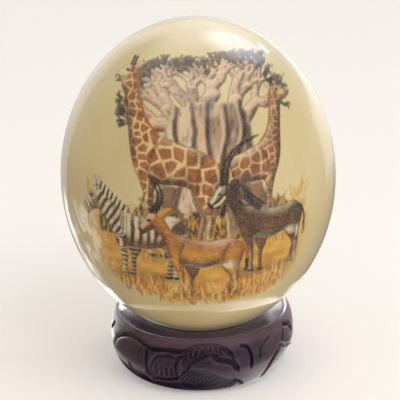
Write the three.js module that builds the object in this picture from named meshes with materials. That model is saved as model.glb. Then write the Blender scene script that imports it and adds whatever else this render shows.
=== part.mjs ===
// A lacquered ostrich egg standing on end in a turned and carved hardwood ring.
// Millimetres, +Z up. The origin is the middle of the ring's foot, on the surface the ring stands on.
// The front of the object faces -Y. Angles round the ring are degrees from the front, positive towards +X.

import * as THREE from "three";

// Driving dimensions
const EGG_LENGTH = 150;
const EGG_WIDTH = 129;
const RING_HEIGHT = 28.5;
const RING_WIDEST_RADIUS = 44.3;
const RING_WIDEST_HEIGHT = 16.7;
const FOOT_RADIUS = 34;
const LIP_RADIUS = 40.7;
const BORE_RADIUS = 26;
const SEAT_RADIUS = 28.5;
const SEAT_DROP = 0.35;
const EGG_CENTRE_HEIGHT = 94.6;

// How finely the two turned forms are divided
const EGG_SEGMENTS = 48;
const EGG_RINGS = 24;
const STAND_SEGMENTS = 160;
const LOWER_STEPS = 11;
const UPPER_STEPS = 7;
const SEAT_STEPS = 2;

// The carving covers half the ring and is repeated on the other half.
const REPEAT_ANGLE = 180;
const EDGE_FADE = 2.5;
const CURVE_DIVISIONS = 32;

// Gouged lines. Each path's points are [angle round the ring, millimetres up the side from the foot].
const GOUGES = [
  {
    name: "wavy border",
    width: 4,
    depth: 1.4,
    path: [
      [-76, 17],
      [-67.5, 25.3],
      [-60, 28.8],
      [-50, 30.4],
      [-37, 28.4],
      [-20, 28.6],
      [-9, 29.4],
      [0, 31],
      [10.5, 30],
      [18.8, 24.2],
    ],
  },
  {
    name: "left upright",
    width: 3.4,
    depth: 1.2,
    path: [
      [-37, 28.4],
      [-37.6, 19],
      [-35.5, 13.2],
      [-32, 7.5],
    ],
  },
  {
    name: "paw sole",
    width: 3.4,
    depth: 1.1,
    path: [
      [-35.5, 13.2],
      [-30, 12.3],
      [-21, 13],
      [-14, 15.2],
    ],
  },
  {
    name: "beak",
    width: 4,
    depth: 1.4,
    path: [
      [8, 25.5],
      [11.5, 23.1],
      [16.2, 22.6],
      [20.2, 20.5],
      [22.2, 16.4],
    ],
  },
  {
    name: "cheek",
    width: 3.6,
    depth: 1.1,
    path: [
      [24, 29.4],
      [28.5, 27.8],
      [31, 22.4],
      [30, 17],
    ],
  },
  {
    name: "fork",
    width: 3.6,
    depth: 0.8,
    path: [
      [46.5, 29],
      [41.5, 27.4],
      [38, 25.8],
      [37, 20.8],
    ],
  },
  {
    name: "right upright",
    width: 3.6,
    depth: 1.2,
    path: [
      [64, 32],
      [61, 28.5],
      [57.5, 21],
    ],
  },
  {
    name: "flank",
    width: 3.8,
    depth: 1.3,
    path: [
      [58.8, 19.5],
      [52.5, 15.3],
      [47, 11.5],
      [43.5, 6.5],
    ],
  },
];

// Fields cut below the turned surface, as outlines in the same coordinates
const SUNK_FIELDS = [
  {
    name: "crest",
    depth: 0.8,
    outline: [
      [-12.5, 28.5],
      [-5, 30.5],
      [1, 31],
      [10, 29.5],
      [17, 25.5],
      [12, 24.5],
      [5, 26.6],
      [-1, 25.2],
      [-12.5, 20.5],
    ],
  },
  {
    name: "belly",
    depth: 1.2,
    outline: [
      [60, 20.5],
      [52.5, 14.5],
      [46, 6],
      [52, 2.5],
      [84, 2.5],
      [86, 11],
      [76, 15],
    ],
  },
];
const FIELD_EDGE = 2.2;

// The egg's height above the foot at a given radius, on its lower half
function eggUnderside(radius) {
  const share = radius / (EGG_WIDTH / 2);
  return EGG_CENTRE_HEIGHT - (EGG_LENGTH / 2) * Math.sqrt(1 - share * share);
}

// A profile drawn in (radius, height), turned once round +Z
function turned(profile, segments) {
  const geometry = new THREE.LatheGeometry(profile, segments);
  geometry.rotateX(Math.PI / 2);
  return geometry;
}

function eggGeometry() {
  const profile = [];
  for (let i = 0; i <= EGG_RINGS; i++) {
    const turn = -Math.PI / 2 + (Math.PI * i) / EGG_RINGS;
    const onAxis = i === 0 || i === EGG_RINGS;
    const radius = onAxis ? 0 : (EGG_WIDTH / 2) * Math.cos(turn);
    profile.push(new THREE.Vector2(radius, (EGG_LENGTH / 2) * Math.sin(turn)));
  }
  return turned(profile, EGG_SEGMENTS);
}

// The ring's outside, from the foot's edge round the belly to the lip: two quarter ellipses
function outerProfile() {
  const points = [];
  for (let i = 0; i < LOWER_STEPS; i++) {
    const turn = ((Math.PI / 2) * i) / LOWER_STEPS;
    points.push(
      new THREE.Vector2(
        FOOT_RADIUS + (RING_WIDEST_RADIUS - FOOT_RADIUS) * Math.sin(turn),
        RING_WIDEST_HEIGHT * (1 - Math.cos(turn)),
      ),
    );
  }
  for (let i = 0; i <= UPPER_STEPS; i++) {
    const turn = ((Math.PI / 2) * i) / UPPER_STEPS;
    points.push(
      new THREE.Vector2(
        LIP_RADIUS + (RING_WIDEST_RADIUS - LIP_RADIUS) * Math.cos(turn),
        RING_WIDEST_HEIGHT + (RING_HEIGHT - RING_WIDEST_HEIGHT) * Math.sin(turn),
      ),
    );
  }
  return points;
}

// The dished seat, from its outer edge to the bore. It stays SEAT_DROP below the egg.
function seatProfile() {
  const points = [];
  for (let i = 0; i <= SEAT_STEPS; i++) {
    const radius = SEAT_RADIUS + ((BORE_RADIUS - SEAT_RADIUS) * i) / SEAT_STEPS;
    points.push(new THREE.Vector2(radius, eggUnderside(radius) - SEAT_DROP));
  }
  return points;
}

// Distance from a point to a polyline, both in millimetres on the unrolled side
function distanceToPath(x, y, path) {
  let nearest = Infinity;
  for (let i = 0; i + 1 < path.length; i++) {
    const a = path[i];
    const b = path[i + 1];
    const alongX = b.x - a.x;
    const alongY = b.y - a.y;
    const share = ((x - a.x) * alongX + (y - a.y) * alongY) / (alongX * alongX + alongY * alongY);
    const held = Math.min(1, Math.max(0, share));
    nearest = Math.min(nearest, Math.hypot(x - a.x - alongX * held, y - a.y - alongY * held));
  }
  return nearest;
}

function isInside(x, y, outline) {
  let inside = false;
  outline.forEach((a, i) => {
    const b = outline[(i + 1) % outline.length];
    const crosses = a.y > y !== b.y > y;
    if (crosses && x < a.x + ((y - a.y) * (b.x - a.x)) / (b.y - a.y)) inside = !inside;
  });
  return inside;
}

// The unrolled side is measured at the ring's widest radius.
const MM_PER_DEGREE = (RING_WIDEST_RADIUS * Math.PI) / 180;

function unrolled(points) {
  return points.map(([angle, up]) => new THREE.Vector2(angle * MM_PER_DEGREE, up));
}

const gouges = GOUGES.map((gouge) => ({
  ...gouge,
  path: new THREE.SplineCurve(unrolled(gouge.path)).getPoints(CURVE_DIVISIONS),
}));
const sunkFields = SUNK_FIELDS.map((field) => {
  const outline = unrolled(field.outline);
  return { ...field, outline, edge: [...outline, outline[0]] };
});

function smooth(share) {
  const t = Math.min(1, Math.max(0, share));
  return t * t * (3 - 2 * t);
}

// How deep the carving goes at an angle round the ring and a distance up its side
function carvedDepth(angle, up) {
  const folded = ((((angle + 90) % REPEAT_ANGLE) + REPEAT_ANGLE) % REPEAT_ANGLE) - 90;
  let depth = 0;
  for (const shift of [-REPEAT_ANGLE, 0, REPEAT_ANGLE]) {
    const x = (folded + shift) * MM_PER_DEGREE;
    for (const gouge of gouges) {
      const away = distanceToPath(x, up, gouge.path) / (gouge.width / 2);
      depth = Math.max(depth, gouge.depth * smooth(1 - away));
    }
    for (const field of sunkFields) {
      const side = isInside(x, up, field.outline) ? 1 : -1;
      const inwards = side * distanceToPath(x, up, field.edge);
      depth = Math.max(depth, field.depth * smooth(inwards / FIELD_EDGE + 0.5));
    }
  }
  return depth;
}

function ringGeometry() {
  const outer = outerProfile();
  const bore = [new THREE.Vector2(BORE_RADIUS, 0)];
  const profile = [...outer, ...seatProfile(), ...bore, outer[0].clone()];
  const geometry = turned(profile, STAND_SEGMENTS);

  // The side's length up to each point, and the direction that faces out of it
  const ups = [0];
  for (let j = 1; j < outer.length; j++) ups.push(ups[j - 1] + outer[j].distanceTo(outer[j - 1]));
  const whole = ups[ups.length - 1];
  const outwards = outer.map((point, j) => {
    const along = outer[Math.min(j + 1, outer.length - 1)].clone().sub(outer[Math.max(j - 1, 0)]);
    return new THREE.Vector2(along.y, -along.x).normalize();
  });

  const position = geometry.attributes.position;
  for (let i = 0; i <= STAND_SEGMENTS; i++) {
    const turn = (2 * Math.PI * (i % STAND_SEGMENTS)) / STAND_SEGMENTS;
    for (let j = 1; j < outer.length - 1; j++) {
      const fade = smooth(ups[j] / EDGE_FADE) * smooth((whole - ups[j]) / EDGE_FADE);
      const depth = fade * carvedDepth(THREE.MathUtils.radToDeg(turn), ups[j]);
      const radius = outer[j].x - outwards[j].x * depth;
      const height = outer[j].y - outwards[j].y * depth;
      const index = i * profile.length + j;
      position.setXYZ(index, radius * Math.sin(turn), -radius * Math.cos(turn), height);
    }
  }
  return geometry;
}

const lacqueredShell = new THREE.MeshStandardMaterial({
  name: "lacquered_shell",
  color: 0xd9cc9c,
  roughness: 0.15,
  metalness: 0,
});
const polishedHardwood = new THREE.MeshStandardMaterial({
  name: "polished_hardwood",
  color: 0x3a2a2b,
  roughness: 0.35,
  metalness: 0,
});

const egg = new THREE.Mesh(eggGeometry(), lacqueredShell);
egg.name = "ostrich_egg";
egg.position.z = EGG_CENTRE_HEIGHT;

const stand = new THREE.Mesh(ringGeometry(), polishedHardwood);
stand.name = "carved_ring_stand";

const eggOnStand = new THREE.Group();
eggOnStand.name = "ostrich_egg_on_carved_stand";
eggOnStand.add(stand, egg);

export default eggOnStand;
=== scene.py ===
"""A lacquered ostrich egg with a printed savanna picture, standing in a carved hardwood ring."""

import logging
import math
from dataclasses import dataclass, field
from enum import Enum

import bpy
import numpy as np
from mathutils import Matrix, Vector


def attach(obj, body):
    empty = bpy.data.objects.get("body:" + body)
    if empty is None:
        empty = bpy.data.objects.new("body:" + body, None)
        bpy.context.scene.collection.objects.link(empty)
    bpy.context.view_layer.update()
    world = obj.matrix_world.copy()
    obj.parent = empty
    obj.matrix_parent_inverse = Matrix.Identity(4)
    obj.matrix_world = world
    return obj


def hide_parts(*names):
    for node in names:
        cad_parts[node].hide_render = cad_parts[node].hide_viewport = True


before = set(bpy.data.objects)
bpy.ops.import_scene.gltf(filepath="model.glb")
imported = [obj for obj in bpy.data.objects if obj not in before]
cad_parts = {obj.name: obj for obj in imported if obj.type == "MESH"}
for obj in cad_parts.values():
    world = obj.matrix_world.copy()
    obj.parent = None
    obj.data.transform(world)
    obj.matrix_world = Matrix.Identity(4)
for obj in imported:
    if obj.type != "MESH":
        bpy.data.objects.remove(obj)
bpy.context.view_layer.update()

log = logging.getLogger("egg_on_ring")

Point = tuple[float, float]
Ink = tuple[float, float, float]

MM = 0.001


# ---------------------------------------------------------------------------
# Small tools
# ---------------------------------------------------------------------------


def ink(red: int, green: int, blue: int) -> Ink:
    """Turns a printer's 0 to 255 colour into linear light.

    Args:
        red: Red share.
        green: Green share.
        blue: Blue share.

    Returns:
        The colour in linear light.
    """
    shares = (red / 255, green / 255, blue / 255)
    return tuple(s / 12.92 if s <= 0.04045 else ((s + 0.055) / 1.055) ** 2.4 for s in shares)


def ease(value: np.ndarray, low: float, high: float) -> np.ndarray:
    """Rises smoothly from 0 at low to 1 at high.

    Args:
        value: Numbers to ease.
        low: Where the rise starts.
        high: Where the rise ends.

    Returns:
        The eased numbers.
    """
    share = np.clip((value - low) / (high - low), 0.0, 1.0)
    return share * share * (3.0 - 2.0 * share)


def scatter(values: np.ndarray, seed: float) -> np.ndarray:
    """Gives each number its own repeatable value from 0 to 1.

    Args:
        values: Numbers to scatter.
        seed: Chooses the set of values.

    Returns:
        Values from 0 to 1.
    """
    return np.mod(np.sin(values * 12.9898 + seed * 78.233) * 43758.5453, 1.0)


def mottle(x: np.ndarray, y: np.ndarray, seed: float) -> np.ndarray:
    """Smooth noise with cells one unit wide.

    Args:
        x: First coordinate.
        y: Second coordinate.
        seed: Chooses the pattern.

    Returns:
        Values from 0 to 1.
    """
    column, row = np.floor(x), np.floor(y)
    across, up = x - column, y - row
    across, up = across * across * (3 - 2 * across), up * up * (3 - 2 * up)

    def corner(i: int, j: int) -> np.ndarray:
        """Gives the value at one corner of each cell."""
        return scatter((column + i) * 1.37 + (row + j) * 57.31, seed)

    low = corner(0, 0) * (1 - across) + corner(1, 0) * across
    high = corner(0, 1) * (1 - across) + corner(1, 1) * across
    return low * (1 - up) + high * up


def flowing(points: list[Point], closed: bool = False, steps: int = 4) -> np.ndarray:
    """Draws a smooth curve through a few points.

    Args:
        points: Points of the curve.
        closed: Whether the last point joins the first.
        steps: Pieces from one point to the next.

    Returns:
        The points of the drawn curve.
    """
    given = np.array(points, float)
    if closed:
        chain = np.vstack([given[-1:], given, given[:2]])
    else:
        chain = np.vstack([2 * given[:1] - given[1:2], given, 2 * given[-1:] - given[-2:-1]])
    drawn = []
    for a, b, c, d in zip(chain[:-3], chain[1:-2], chain[2:-1], chain[3:]):
        for step in range(steps):
            s = step / steps
            bend = 2 * a - 5 * b + 4 * c - d
            sway = 3 * b - a - 3 * c + d
            drawn.append(0.5 * (2 * b + (c - a) * s + bend * s * s + sway * s**3))
    if not closed:
        drawn.append(given[-1])
    return np.array(drawn)


@dataclass
class Reach:
    """How far each of some points lies from a curve.

    Attributes:
        away: Distance to the curve.
        share: How far along the curve the nearest place is, from 0 to 1.
        toward: Unit vector from the point to the nearest place.
        side: Positive where the point lies to the right of the curve's run.
    """

    away: np.ndarray
    share: np.ndarray
    toward: np.ndarray
    side: np.ndarray


def reach(x: np.ndarray, y: np.ndarray, curve: np.ndarray, closed: bool) -> Reach:
    """Measures points against a curve.

    Args:
        x: First coordinate of the points.
        y: Second coordinate of the points.
        curve: Points of the curve.
        closed: Whether the last point joins the first.

    Returns:
        The measures.
    """
    nodes = np.vstack([curve, curve[:1]]) if closed else curve
    count = len(nodes) - 1
    away = np.full(len(x), 1e9)
    share = np.zeros(len(x))
    toward = np.zeros((len(x), 2))
    side = np.zeros(len(x))
    for i in range(count):
        ax, ay = nodes[i]
        dx, dy = nodes[i + 1] - nodes[i]
        along = np.clip(((x - ax) * dx + (y - ay) * dy) / (dx * dx + dy * dy + 1e-12), 0.0, 1.0)
        gap_x, gap_y = ax + dx * along - x, ay + dy * along - y
        distance = np.hypot(gap_x, gap_y)
        nearer = distance < away
        away[nearer] = distance[nearer]
        share[nearer] = (i + along[nearer]) / count
        toward[nearer, 0] = gap_x[nearer]
        toward[nearer, 1] = gap_y[nearer]
        side[nearer] = (dx * gap_y - dy * gap_x)[nearer]
    toward /= np.maximum(away, 1e-9)[:, None]
    return Reach(away, share, toward, side)


def beside(x: np.ndarray, y: np.ndarray, curve: np.ndarray, margin: float) -> np.ndarray:
    """Finds the points near a curve.

    Args:
        x: First coordinate of the points.
        y: Second coordinate of the points.
        curve: Points of the curve.
        margin: How far round it to look.

    Returns:
        The points' numbers.
    """
    low, high = curve.min(0) - margin, curve.max(0) + margin
    return np.flatnonzero((x > low[0]) & (x < high[0]) & (y > low[1]) & (y < high[1]))


def encloses(x: np.ndarray, y: np.ndarray, outline: np.ndarray) -> np.ndarray:
    """Tells which points lie inside a closed outline.

    Args:
        x: First coordinate of the points.
        y: Second coordinate of the points.
        outline: Points of the outline.

    Returns:
        True for each point inside.
    """
    within = np.zeros(len(x), bool)
    for (ax, ay), (bx, by) in zip(outline, np.roll(outline, -1, 0)):
        if ay == by:
            continue
        crosses = (ay > y) != (by > y)
        within ^= crosses & (x < ax + (y - ay) * (bx - ax) / (by - ay))
    return within


# ---------------------------------------------------------------------------
# The picture on the shell
# ---------------------------------------------------------------------------

CREAM = ink(236, 222, 186)
TAN = ink(222, 186, 140)
OCHRE = ink(214, 150, 66)
RUST = ink(172, 98, 48)
BROWN = ink(122, 82, 56)
DEEP_BROWN = ink(70, 48, 44)
SOOT = ink(46, 38, 44)
GOLD = ink(218, 160, 62)
PALE_GOLD = ink(232, 196, 112)

LIGHT_FROM = (-0.55, 0.83)


@dataclass
class Patch:
    """The points that one shape has inked.

    Attributes:
        near: Numbers of the points near the shape.
        mask: How fully each is inked, from 0 to 1.
        depth: How far inside the outline each lies, in millimetres.
        outward: Unit vector towards the nearest edge.
    """

    near: np.ndarray
    mask: np.ndarray
    depth: np.ndarray
    outward: np.ndarray


class Canvas:
    """Points of the shell in picture millimetres, and the ink that each has taken."""

    SHAPE_MARGIN = 3.0
    STROKE_MARGIN = 1.0

    def __init__(self, u: np.ndarray, v: np.ndarray) -> None:
        """Starts a bare canvas.

        Args:
            u: Millimetres to the right of the picture's middle line.
            v: Millimetres above the egg's widest ring.
        """
        self.u = u
        self.v = v
        self.ink = np.zeros((len(u), 3))
        self.cover = np.zeros(len(u))

    def lay(self, near: np.ndarray, mask: np.ndarray, colour: Ink) -> None:
        """Lays ink over what is there.

        Args:
            near: Numbers of the points.
            mask: How fully each is inked.
            colour: The ink.
        """
        under = self.cover[near] * (1 - mask)
        total = np.maximum(mask + under, 1e-9)[:, None]
        laid = np.asarray(colour)[None, :] * mask[:, None]
        self.ink[near] = (laid + self.ink[near] * under[:, None]) / total
        self.cover[near] = mask + under

    def tint(self, near: np.ndarray, mask: np.ndarray, colour: Ink) -> None:
        """Shifts the ink that is there towards another, and leaves its cover.

        Args:
            near: Numbers of the points.
            mask: How far each shifts.
            colour: The ink to shift towards.
        """
        share = mask[:, None]
        self.ink[near] = self.ink[near] * (1 - share) + np.asarray(colour)[None, :] * share

    def blob(self, outline: np.ndarray, colour: Ink, soft: float = 0.4, cover: float = 1.0) -> Patch:
        """Fills a closed outline.

        Args:
            outline: Points of the outline.
            colour: The ink.
            soft: Half the width of the edge.
            cover: How fully the ink covers.

        Returns:
            The inked patch.
        """
        near = beside(self.u, self.v, outline, self.SHAPE_MARGIN)
        x, y = self.u[near], self.v[near]
        measured = reach(x, y, outline, True)
        depth = np.where(encloses(x, y, outline), measured.away, -measured.away)
        mask = ease(depth, -soft, soft) * cover
        self.lay(near, mask, colour)
        return Patch(near, mask, depth, measured.toward)

    def stroke(
        self,
        curve: np.ndarray,
        colour: Ink,
        width: float,
        tip: float | None = None,
        cover: float = 1.0,
        soft: float = 0.35,
        shade_only: bool = False,
        fade: float = 0.0,
    ) -> Patch:
        """Draws a brush stroke along a curve.

        Args:
            curve: Points of the stroke.
            colour: The ink.
            width: Width at the start.
            tip: Width at the end, or the start's width if it is left out.
            cover: How fully the ink covers.
            soft: Half the width of the edge.
            shade_only: Whether only ink that is there already is shifted.
            fade: Share of its length over which the stroke fades in.

        Returns:
            The inked patch.
        """
        near = beside(self.u, self.v, curve, width + self.STROKE_MARGIN)
        measured = reach(self.u[near], self.v[near], curve, False)
        end = width if tip is None else tip
        half = (width + (end - width) * measured.share) / 2
        depth = half - measured.away
        mask = ease(depth, -soft, soft) * cover
        if fade > 0:
            mask = mask * ease(measured.share, 0.0, fade)
        if shade_only:
            self.tint(near, mask, colour)
        else:
            self.lay(near, mask, colour)
        return Patch(near, mask, depth, -measured.toward)

    def model(self, patch: Patch, turn: float, dark: Ink, light: Ink, strength: float) -> None:
        """Rounds a patch with light from the upper left.

        Args:
            patch: The patch.
            turn: How far in from its edge the form keeps turning.
            dark: Ink of the shaded side.
            light: Ink of the lit side.
            strength: How strong the shading is.
        """
        steep = 1 - np.clip(patch.depth / turn, 0.0, 1.0)
        facing = (patch.outward @ np.array(LIGHT_FROM)) * steep
        self.tint(patch.near, patch.mask * ease(-facing, 0.0, 0.9) * strength, dark)
        self.tint(patch.near, patch.mask * ease(facing, 0.15, 0.95) * strength * 0.7, light)
        cloud = mottle(self.u[patch.near] * 0.2, self.v[patch.near] * 0.26, 5.0)
        self.tint(patch.near, patch.mask * ease(cloud, 0.45, 0.95) * strength * 0.45, dark)

    def contour(self, patch: Patch, colour: Ink, width: float, strength: float) -> None:
        """Darkens a patch along its edge, broken as a pencil line is.

        Args:
            patch: The patch.
            colour: Ink of the line.
            width: How far in the line reaches.
            strength: How strong it is.
        """
        broken = 0.55 + 0.45 * mottle(self.u[patch.near] * 0.6, self.v[patch.near] * 0.6, 3.0)
        line = 1 - ease(patch.depth, 0.0, width)
        self.tint(patch.near, patch.mask * line * broken * strength, colour)

    def hair(
        self,
        patch: Patch,
        colour: Ink,
        run: Point,
        strength: float,
        seed: float,
        fine: float = 0.6,
    ) -> None:
        """Draws short hairs across a patch.

        Args:
            patch: The patch.
            colour: Ink of the hairs.
            run: Direction that the hairs follow.
            strength: How strong they are.
            seed: Chooses the pattern.
            fine: Width of a hair in millimetres.
        """
        length = math.hypot(*run)
        along_u, along_v = run[0] / length, run[1] / length
        u, v = self.u[patch.near], self.v[patch.near]
        across = (u * along_v - v * along_u) / fine
        along = (u * along_u + v * along_v) / (fine * 4)
        grain = mottle(across, along, seed)
        self.tint(patch.near, patch.mask * ease(grain, 0.5, 0.95) * strength, colour)


class Facing(Enum):
    """Which way an animal looks."""

    LEFT = 1
    RIGHT = -1


@dataclass
class Animal:
    """An animal drawn side on, in its own units with the ground at 0.

    Attributes:
        at: Where its feet's middle stands, in picture millimetres.
        size: Picture millimetres in one of its units.
        facing: Which way it looks.
        seed: Chooses its markings.
        upright: How far its neck is straightened, per unit above the withers.
        withers: Height at which the neck starts to straighten.
    """

    at: Point
    size: float
    facing: Facing = Facing.LEFT
    seed: float = 1.0
    upright: float = 0.0
    withers: float = 50.0

    FAR_FORELEG = ()
    FAR_HIND_LEG = ()
    OUTLINE = ()
    SHADOWS = ()
    EDGE = 0.35

    def place(self, points: list[Point]) -> list[Point]:
        """Turns points in the animal's units into picture millimetres.

        Args:
            points: Points in the animal's units.

        Returns:
            The points in picture millimetres.
        """
        placed = []
        for x, y in points:
            bent = x + self.upright * max(0.0, y - self.withers)
            placed.append((self.at[0] + self.facing.value * bent * self.size, self.at[1] + y * self.size))
        return placed

    def own(self, canvas: Canvas, patch: Patch) -> tuple[np.ndarray, np.ndarray]:
        """Gives a patch's points in the animal's units.

        Args:
            canvas: What the patch is painted on.
            patch: The patch.

        Returns:
            First and second coordinates.
        """
        y = (canvas.v[patch.near] - self.at[1]) / self.size
        x = (canvas.u[patch.near] - self.at[0]) / self.size * self.facing.value
        return x - self.upright * np.maximum(0.0, y - self.withers), y

    def wash(self, canvas: Canvas, points: list[Point], colour: Ink) -> Patch:
        """Fills a shape given in the animal's units."""
        return canvas.blob(flowing(self.place(points), True), colour, self.EDGE)

    def fill(self, canvas: Canvas, points: list[Point], colour: Ink, turn: float) -> Patch:
        """Fills and rounds a shape given in the animal's units.

        Args:
            canvas: What it is painted on.
            points: The shape's outline.
            colour: Its ink.
            turn: How far in from its edge the form keeps turning.

        Returns:
            The inked patch.
        """
        patch = self.wash(canvas, points, colour)
        canvas.model(patch, turn * self.size, DEEP_BROWN, CREAM, 0.62)
        return patch

    def far_legs(self, canvas: Canvas, colour: Ink, turn: float) -> list[Patch]:
        """Paints the two legs of the far side."""
        return [self.fill(canvas, leg, colour, turn) for leg in (self.FAR_FORELEG, self.FAR_HIND_LEG)]

    def brush(
        self,
        canvas: Canvas,
        points: list[Point],
        colour: Ink,
        width: float,
        tip: float | None = None,
        cover: float = 1.0,
    ) -> Patch:
        """Draws a stroke given in the animal's units."""
        end = None if tip is None else tip * self.size
        return canvas.stroke(flowing(self.place(points)), colour, width * self.size, end, cover)

    def shade(self, canvas: Canvas) -> None:
        """Shades the body along its folds.

        Args:
            canvas: What it is painted on.
        """
        for points, width, tip, cover in self.SHADOWS:
            curve = flowing(self.place(points))
            soft = 0.5 * width * self.size
            canvas.stroke(curve, DEEP_BROWN, width * self.size, tip * self.size, cover, soft, True)

    def hooves(self, canvas: Canvas, columns: list[float], half: float) -> None:
        """Draws the hooves.

        Args:
            canvas: What they are drawn on.
            columns: Where each stands.
            half: Half the width of one.
        """
        for x in columns:
            self.brush(canvas, [(x - half, 0.6), (x + half, 0.6)], SOOT, half * 1.3, cover=0.85)


@dataclass
class Giraffe(Animal):
    """A standing giraffe."""

    coat: Ink = TAN
    markings: Ink = RUST

    FAR_FORELEG = [
        (-7.5, 33), (-6.2, 22), (-7, 18), (-6.6, 9), (-6.2, 1.5), (-7.8, 0), (-3.6, 0), (-3.4, 9),
        (-3.2, 18), (-1.5, 26), (0.5, 33),
    ]
    FAR_HIND_LEG = [
        (7, 33), (8.2, 25), (10.8, 19.5), (9, 10), (8.6, 1.5), (7.4, 0), (11.2, 0), (11.6, 10),
        (13.6, 19.5), (14.5, 30),
    ]
    OUTLINE = [
        (-37.2, 80.2), (-36.4, 82.6), (-33.4, 84.9), (-30.6, 87.3), (-27.6, 88.4), (-25, 87), (-23.2, 83),
        (-20.6, 75), (-17.2, 67), (-12.6, 60.5), (-7.5, 56), (-2, 54), (5, 51.5), (11.5, 49), (16.8, 45.5),
        (19.6, 41), (20.4, 36), (19, 30), (17.4, 24.5), (17.6, 19.5), (16, 13), (15.2, 6), (15.4, 1.5),
        (16.4, 0), (11.8, 0), (12.4, 6), (12.8, 13), (13.4, 19), (11, 25), (8.2, 30.5), (4, 33.5),
        (-3, 34.2), (-8.5, 33.5), (-10, 28), (-10.3, 20), (-10.6, 12), (-10.4, 2), (-9.6, 0), (-14, 0),
        (-13.4, 3), (-13.4, 12), (-14, 20), (-14.6, 28), (-16.6, 35), (-19.6, 42), (-21.2, 50), (-23.6, 59),
        (-26.6, 68), (-29.6, 75.5), (-32.4, 77.6), (-35.6, 77.4),
    ]
    SHADOWS = [
        ([(-9, 35), (-2, 36), (7, 34.5)], 3.0, 1.0, 0.65),
        ([(-29, 76), (-25.5, 67), (-22.4, 57), (-19.4, 45)], 2.6, 3.4, 0.65),
        ([(-8, 52), (-11, 46), (-12.5, 38)], 1.8, 0.8, 0.65),
        ([(13, 46), (10, 38), (9.5, 31)], 1.6, 0.8, 0.65),
        ([(-12, 33), (-12.2, 20), (-11.6, 4)], 1.0, 0.8, 0.65),
    ]

    def mark(self, canvas: Canvas, patch: Patch) -> None:
        """Paints the coat's patches, small on the neck and gone below the knee.

        Args:
            canvas: What it is painted on.
            patch: The animal's outline.
        """
        x, y = self.own(canvas, patch)
        cell = np.where(x < -13, 4.2, 6.2)
        cell = np.where(y < 30, 4.4, cell)
        column, row = x / cell, (y + 0.15 * x) / cell
        first = np.full(len(x), 9.0)
        second = np.full(len(x), 9.0)
        for i in (-1, 0, 1):
            for j in (-1, 0, 1):
                left, low = np.floor(column) + i, np.floor(row) + j
                key = left * 1.31 + low * 41.7
                off_x = column - left - 0.15 - 0.7 * scatter(key, self.seed)
                off_y = row - low - 0.15 - 0.7 * scatter(key, self.seed + 3.3)
                away = np.hypot(off_x, off_y)
                second = np.minimum(second, np.maximum(first, away))
                first = np.minimum(first, away)
        spot = ease(second - first, 0.10, 0.24) * ease(y, 10, 22)
        spot *= np.maximum(ease(x, -30.5, -27.5), ease(77 - y, 0, 4))
        uneven = 0.75 + 0.25 * mottle(x * 0.8, y * 0.8, self.seed + 1)
        canvas.tint(patch.near, patch.mask * spot * uneven, self.markings)

    def paint(self, canvas: Canvas) -> None:
        """Paints the animal.

        Args:
            canvas: What it is painted on.
        """
        self.far_legs(canvas, ink(150, 114, 86), 2.4)
        patch = self.wash(canvas, self.OUTLINE, self.coat)
        self.mark(canvas, patch)
        canvas.hair(patch, DEEP_BROWN, (0.3, 1.0), 0.22, self.seed)
        canvas.model(patch, 7.0 * self.size, DEEP_BROWN, CREAM, 0.85)
        canvas.contour(patch, SOOT, 0.9, 0.75)
        self.shade(canvas)
        mane = [(-25.4, 88), (-22.2, 81), (-18.6, 70), (-14, 61.6), (-8.5, 56.6)]
        self.brush(canvas, mane, RUST, 1.7, 1.2, 0.9)
        self.brush(canvas, [(19.4, 43), (21.2, 36), (21, 29)], BROWN, 1.1, 0.8)
        self.brush(canvas, [(21, 30), (21.4, 25), (20.6, 20.5)], SOOT, 1.2, 2.2)
        for x in (-28.2, -26.4):
            self.brush(canvas, [(x, 87.4), (x + 0.8, 92)], DEEP_BROWN, 1.3, 1.5)
        ear_points = [(-25.6, 87.4), (-22.6, 90), (-19.6, 90.2), (-21.6, 87.6), (-24.6, 85.4)]
        canvas.contour(self.fill(canvas, ear_points, TAN, 1.0), BROWN, 0.6, 0.8)
        self.brush(canvas, [(-36.6, 79.6), (-35.2, 80.8), (-34.2, 80)], DEEP_BROWN, 1.3, 1.0, 0.6)
        self.brush(canvas, [(-30, 84.4), (-28.8, 84.2)], SOOT, 1.5, 1.2)
        self.hooves(canvas, [-11.8, 14.2, -5.6, 9.4], 1.5)


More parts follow.
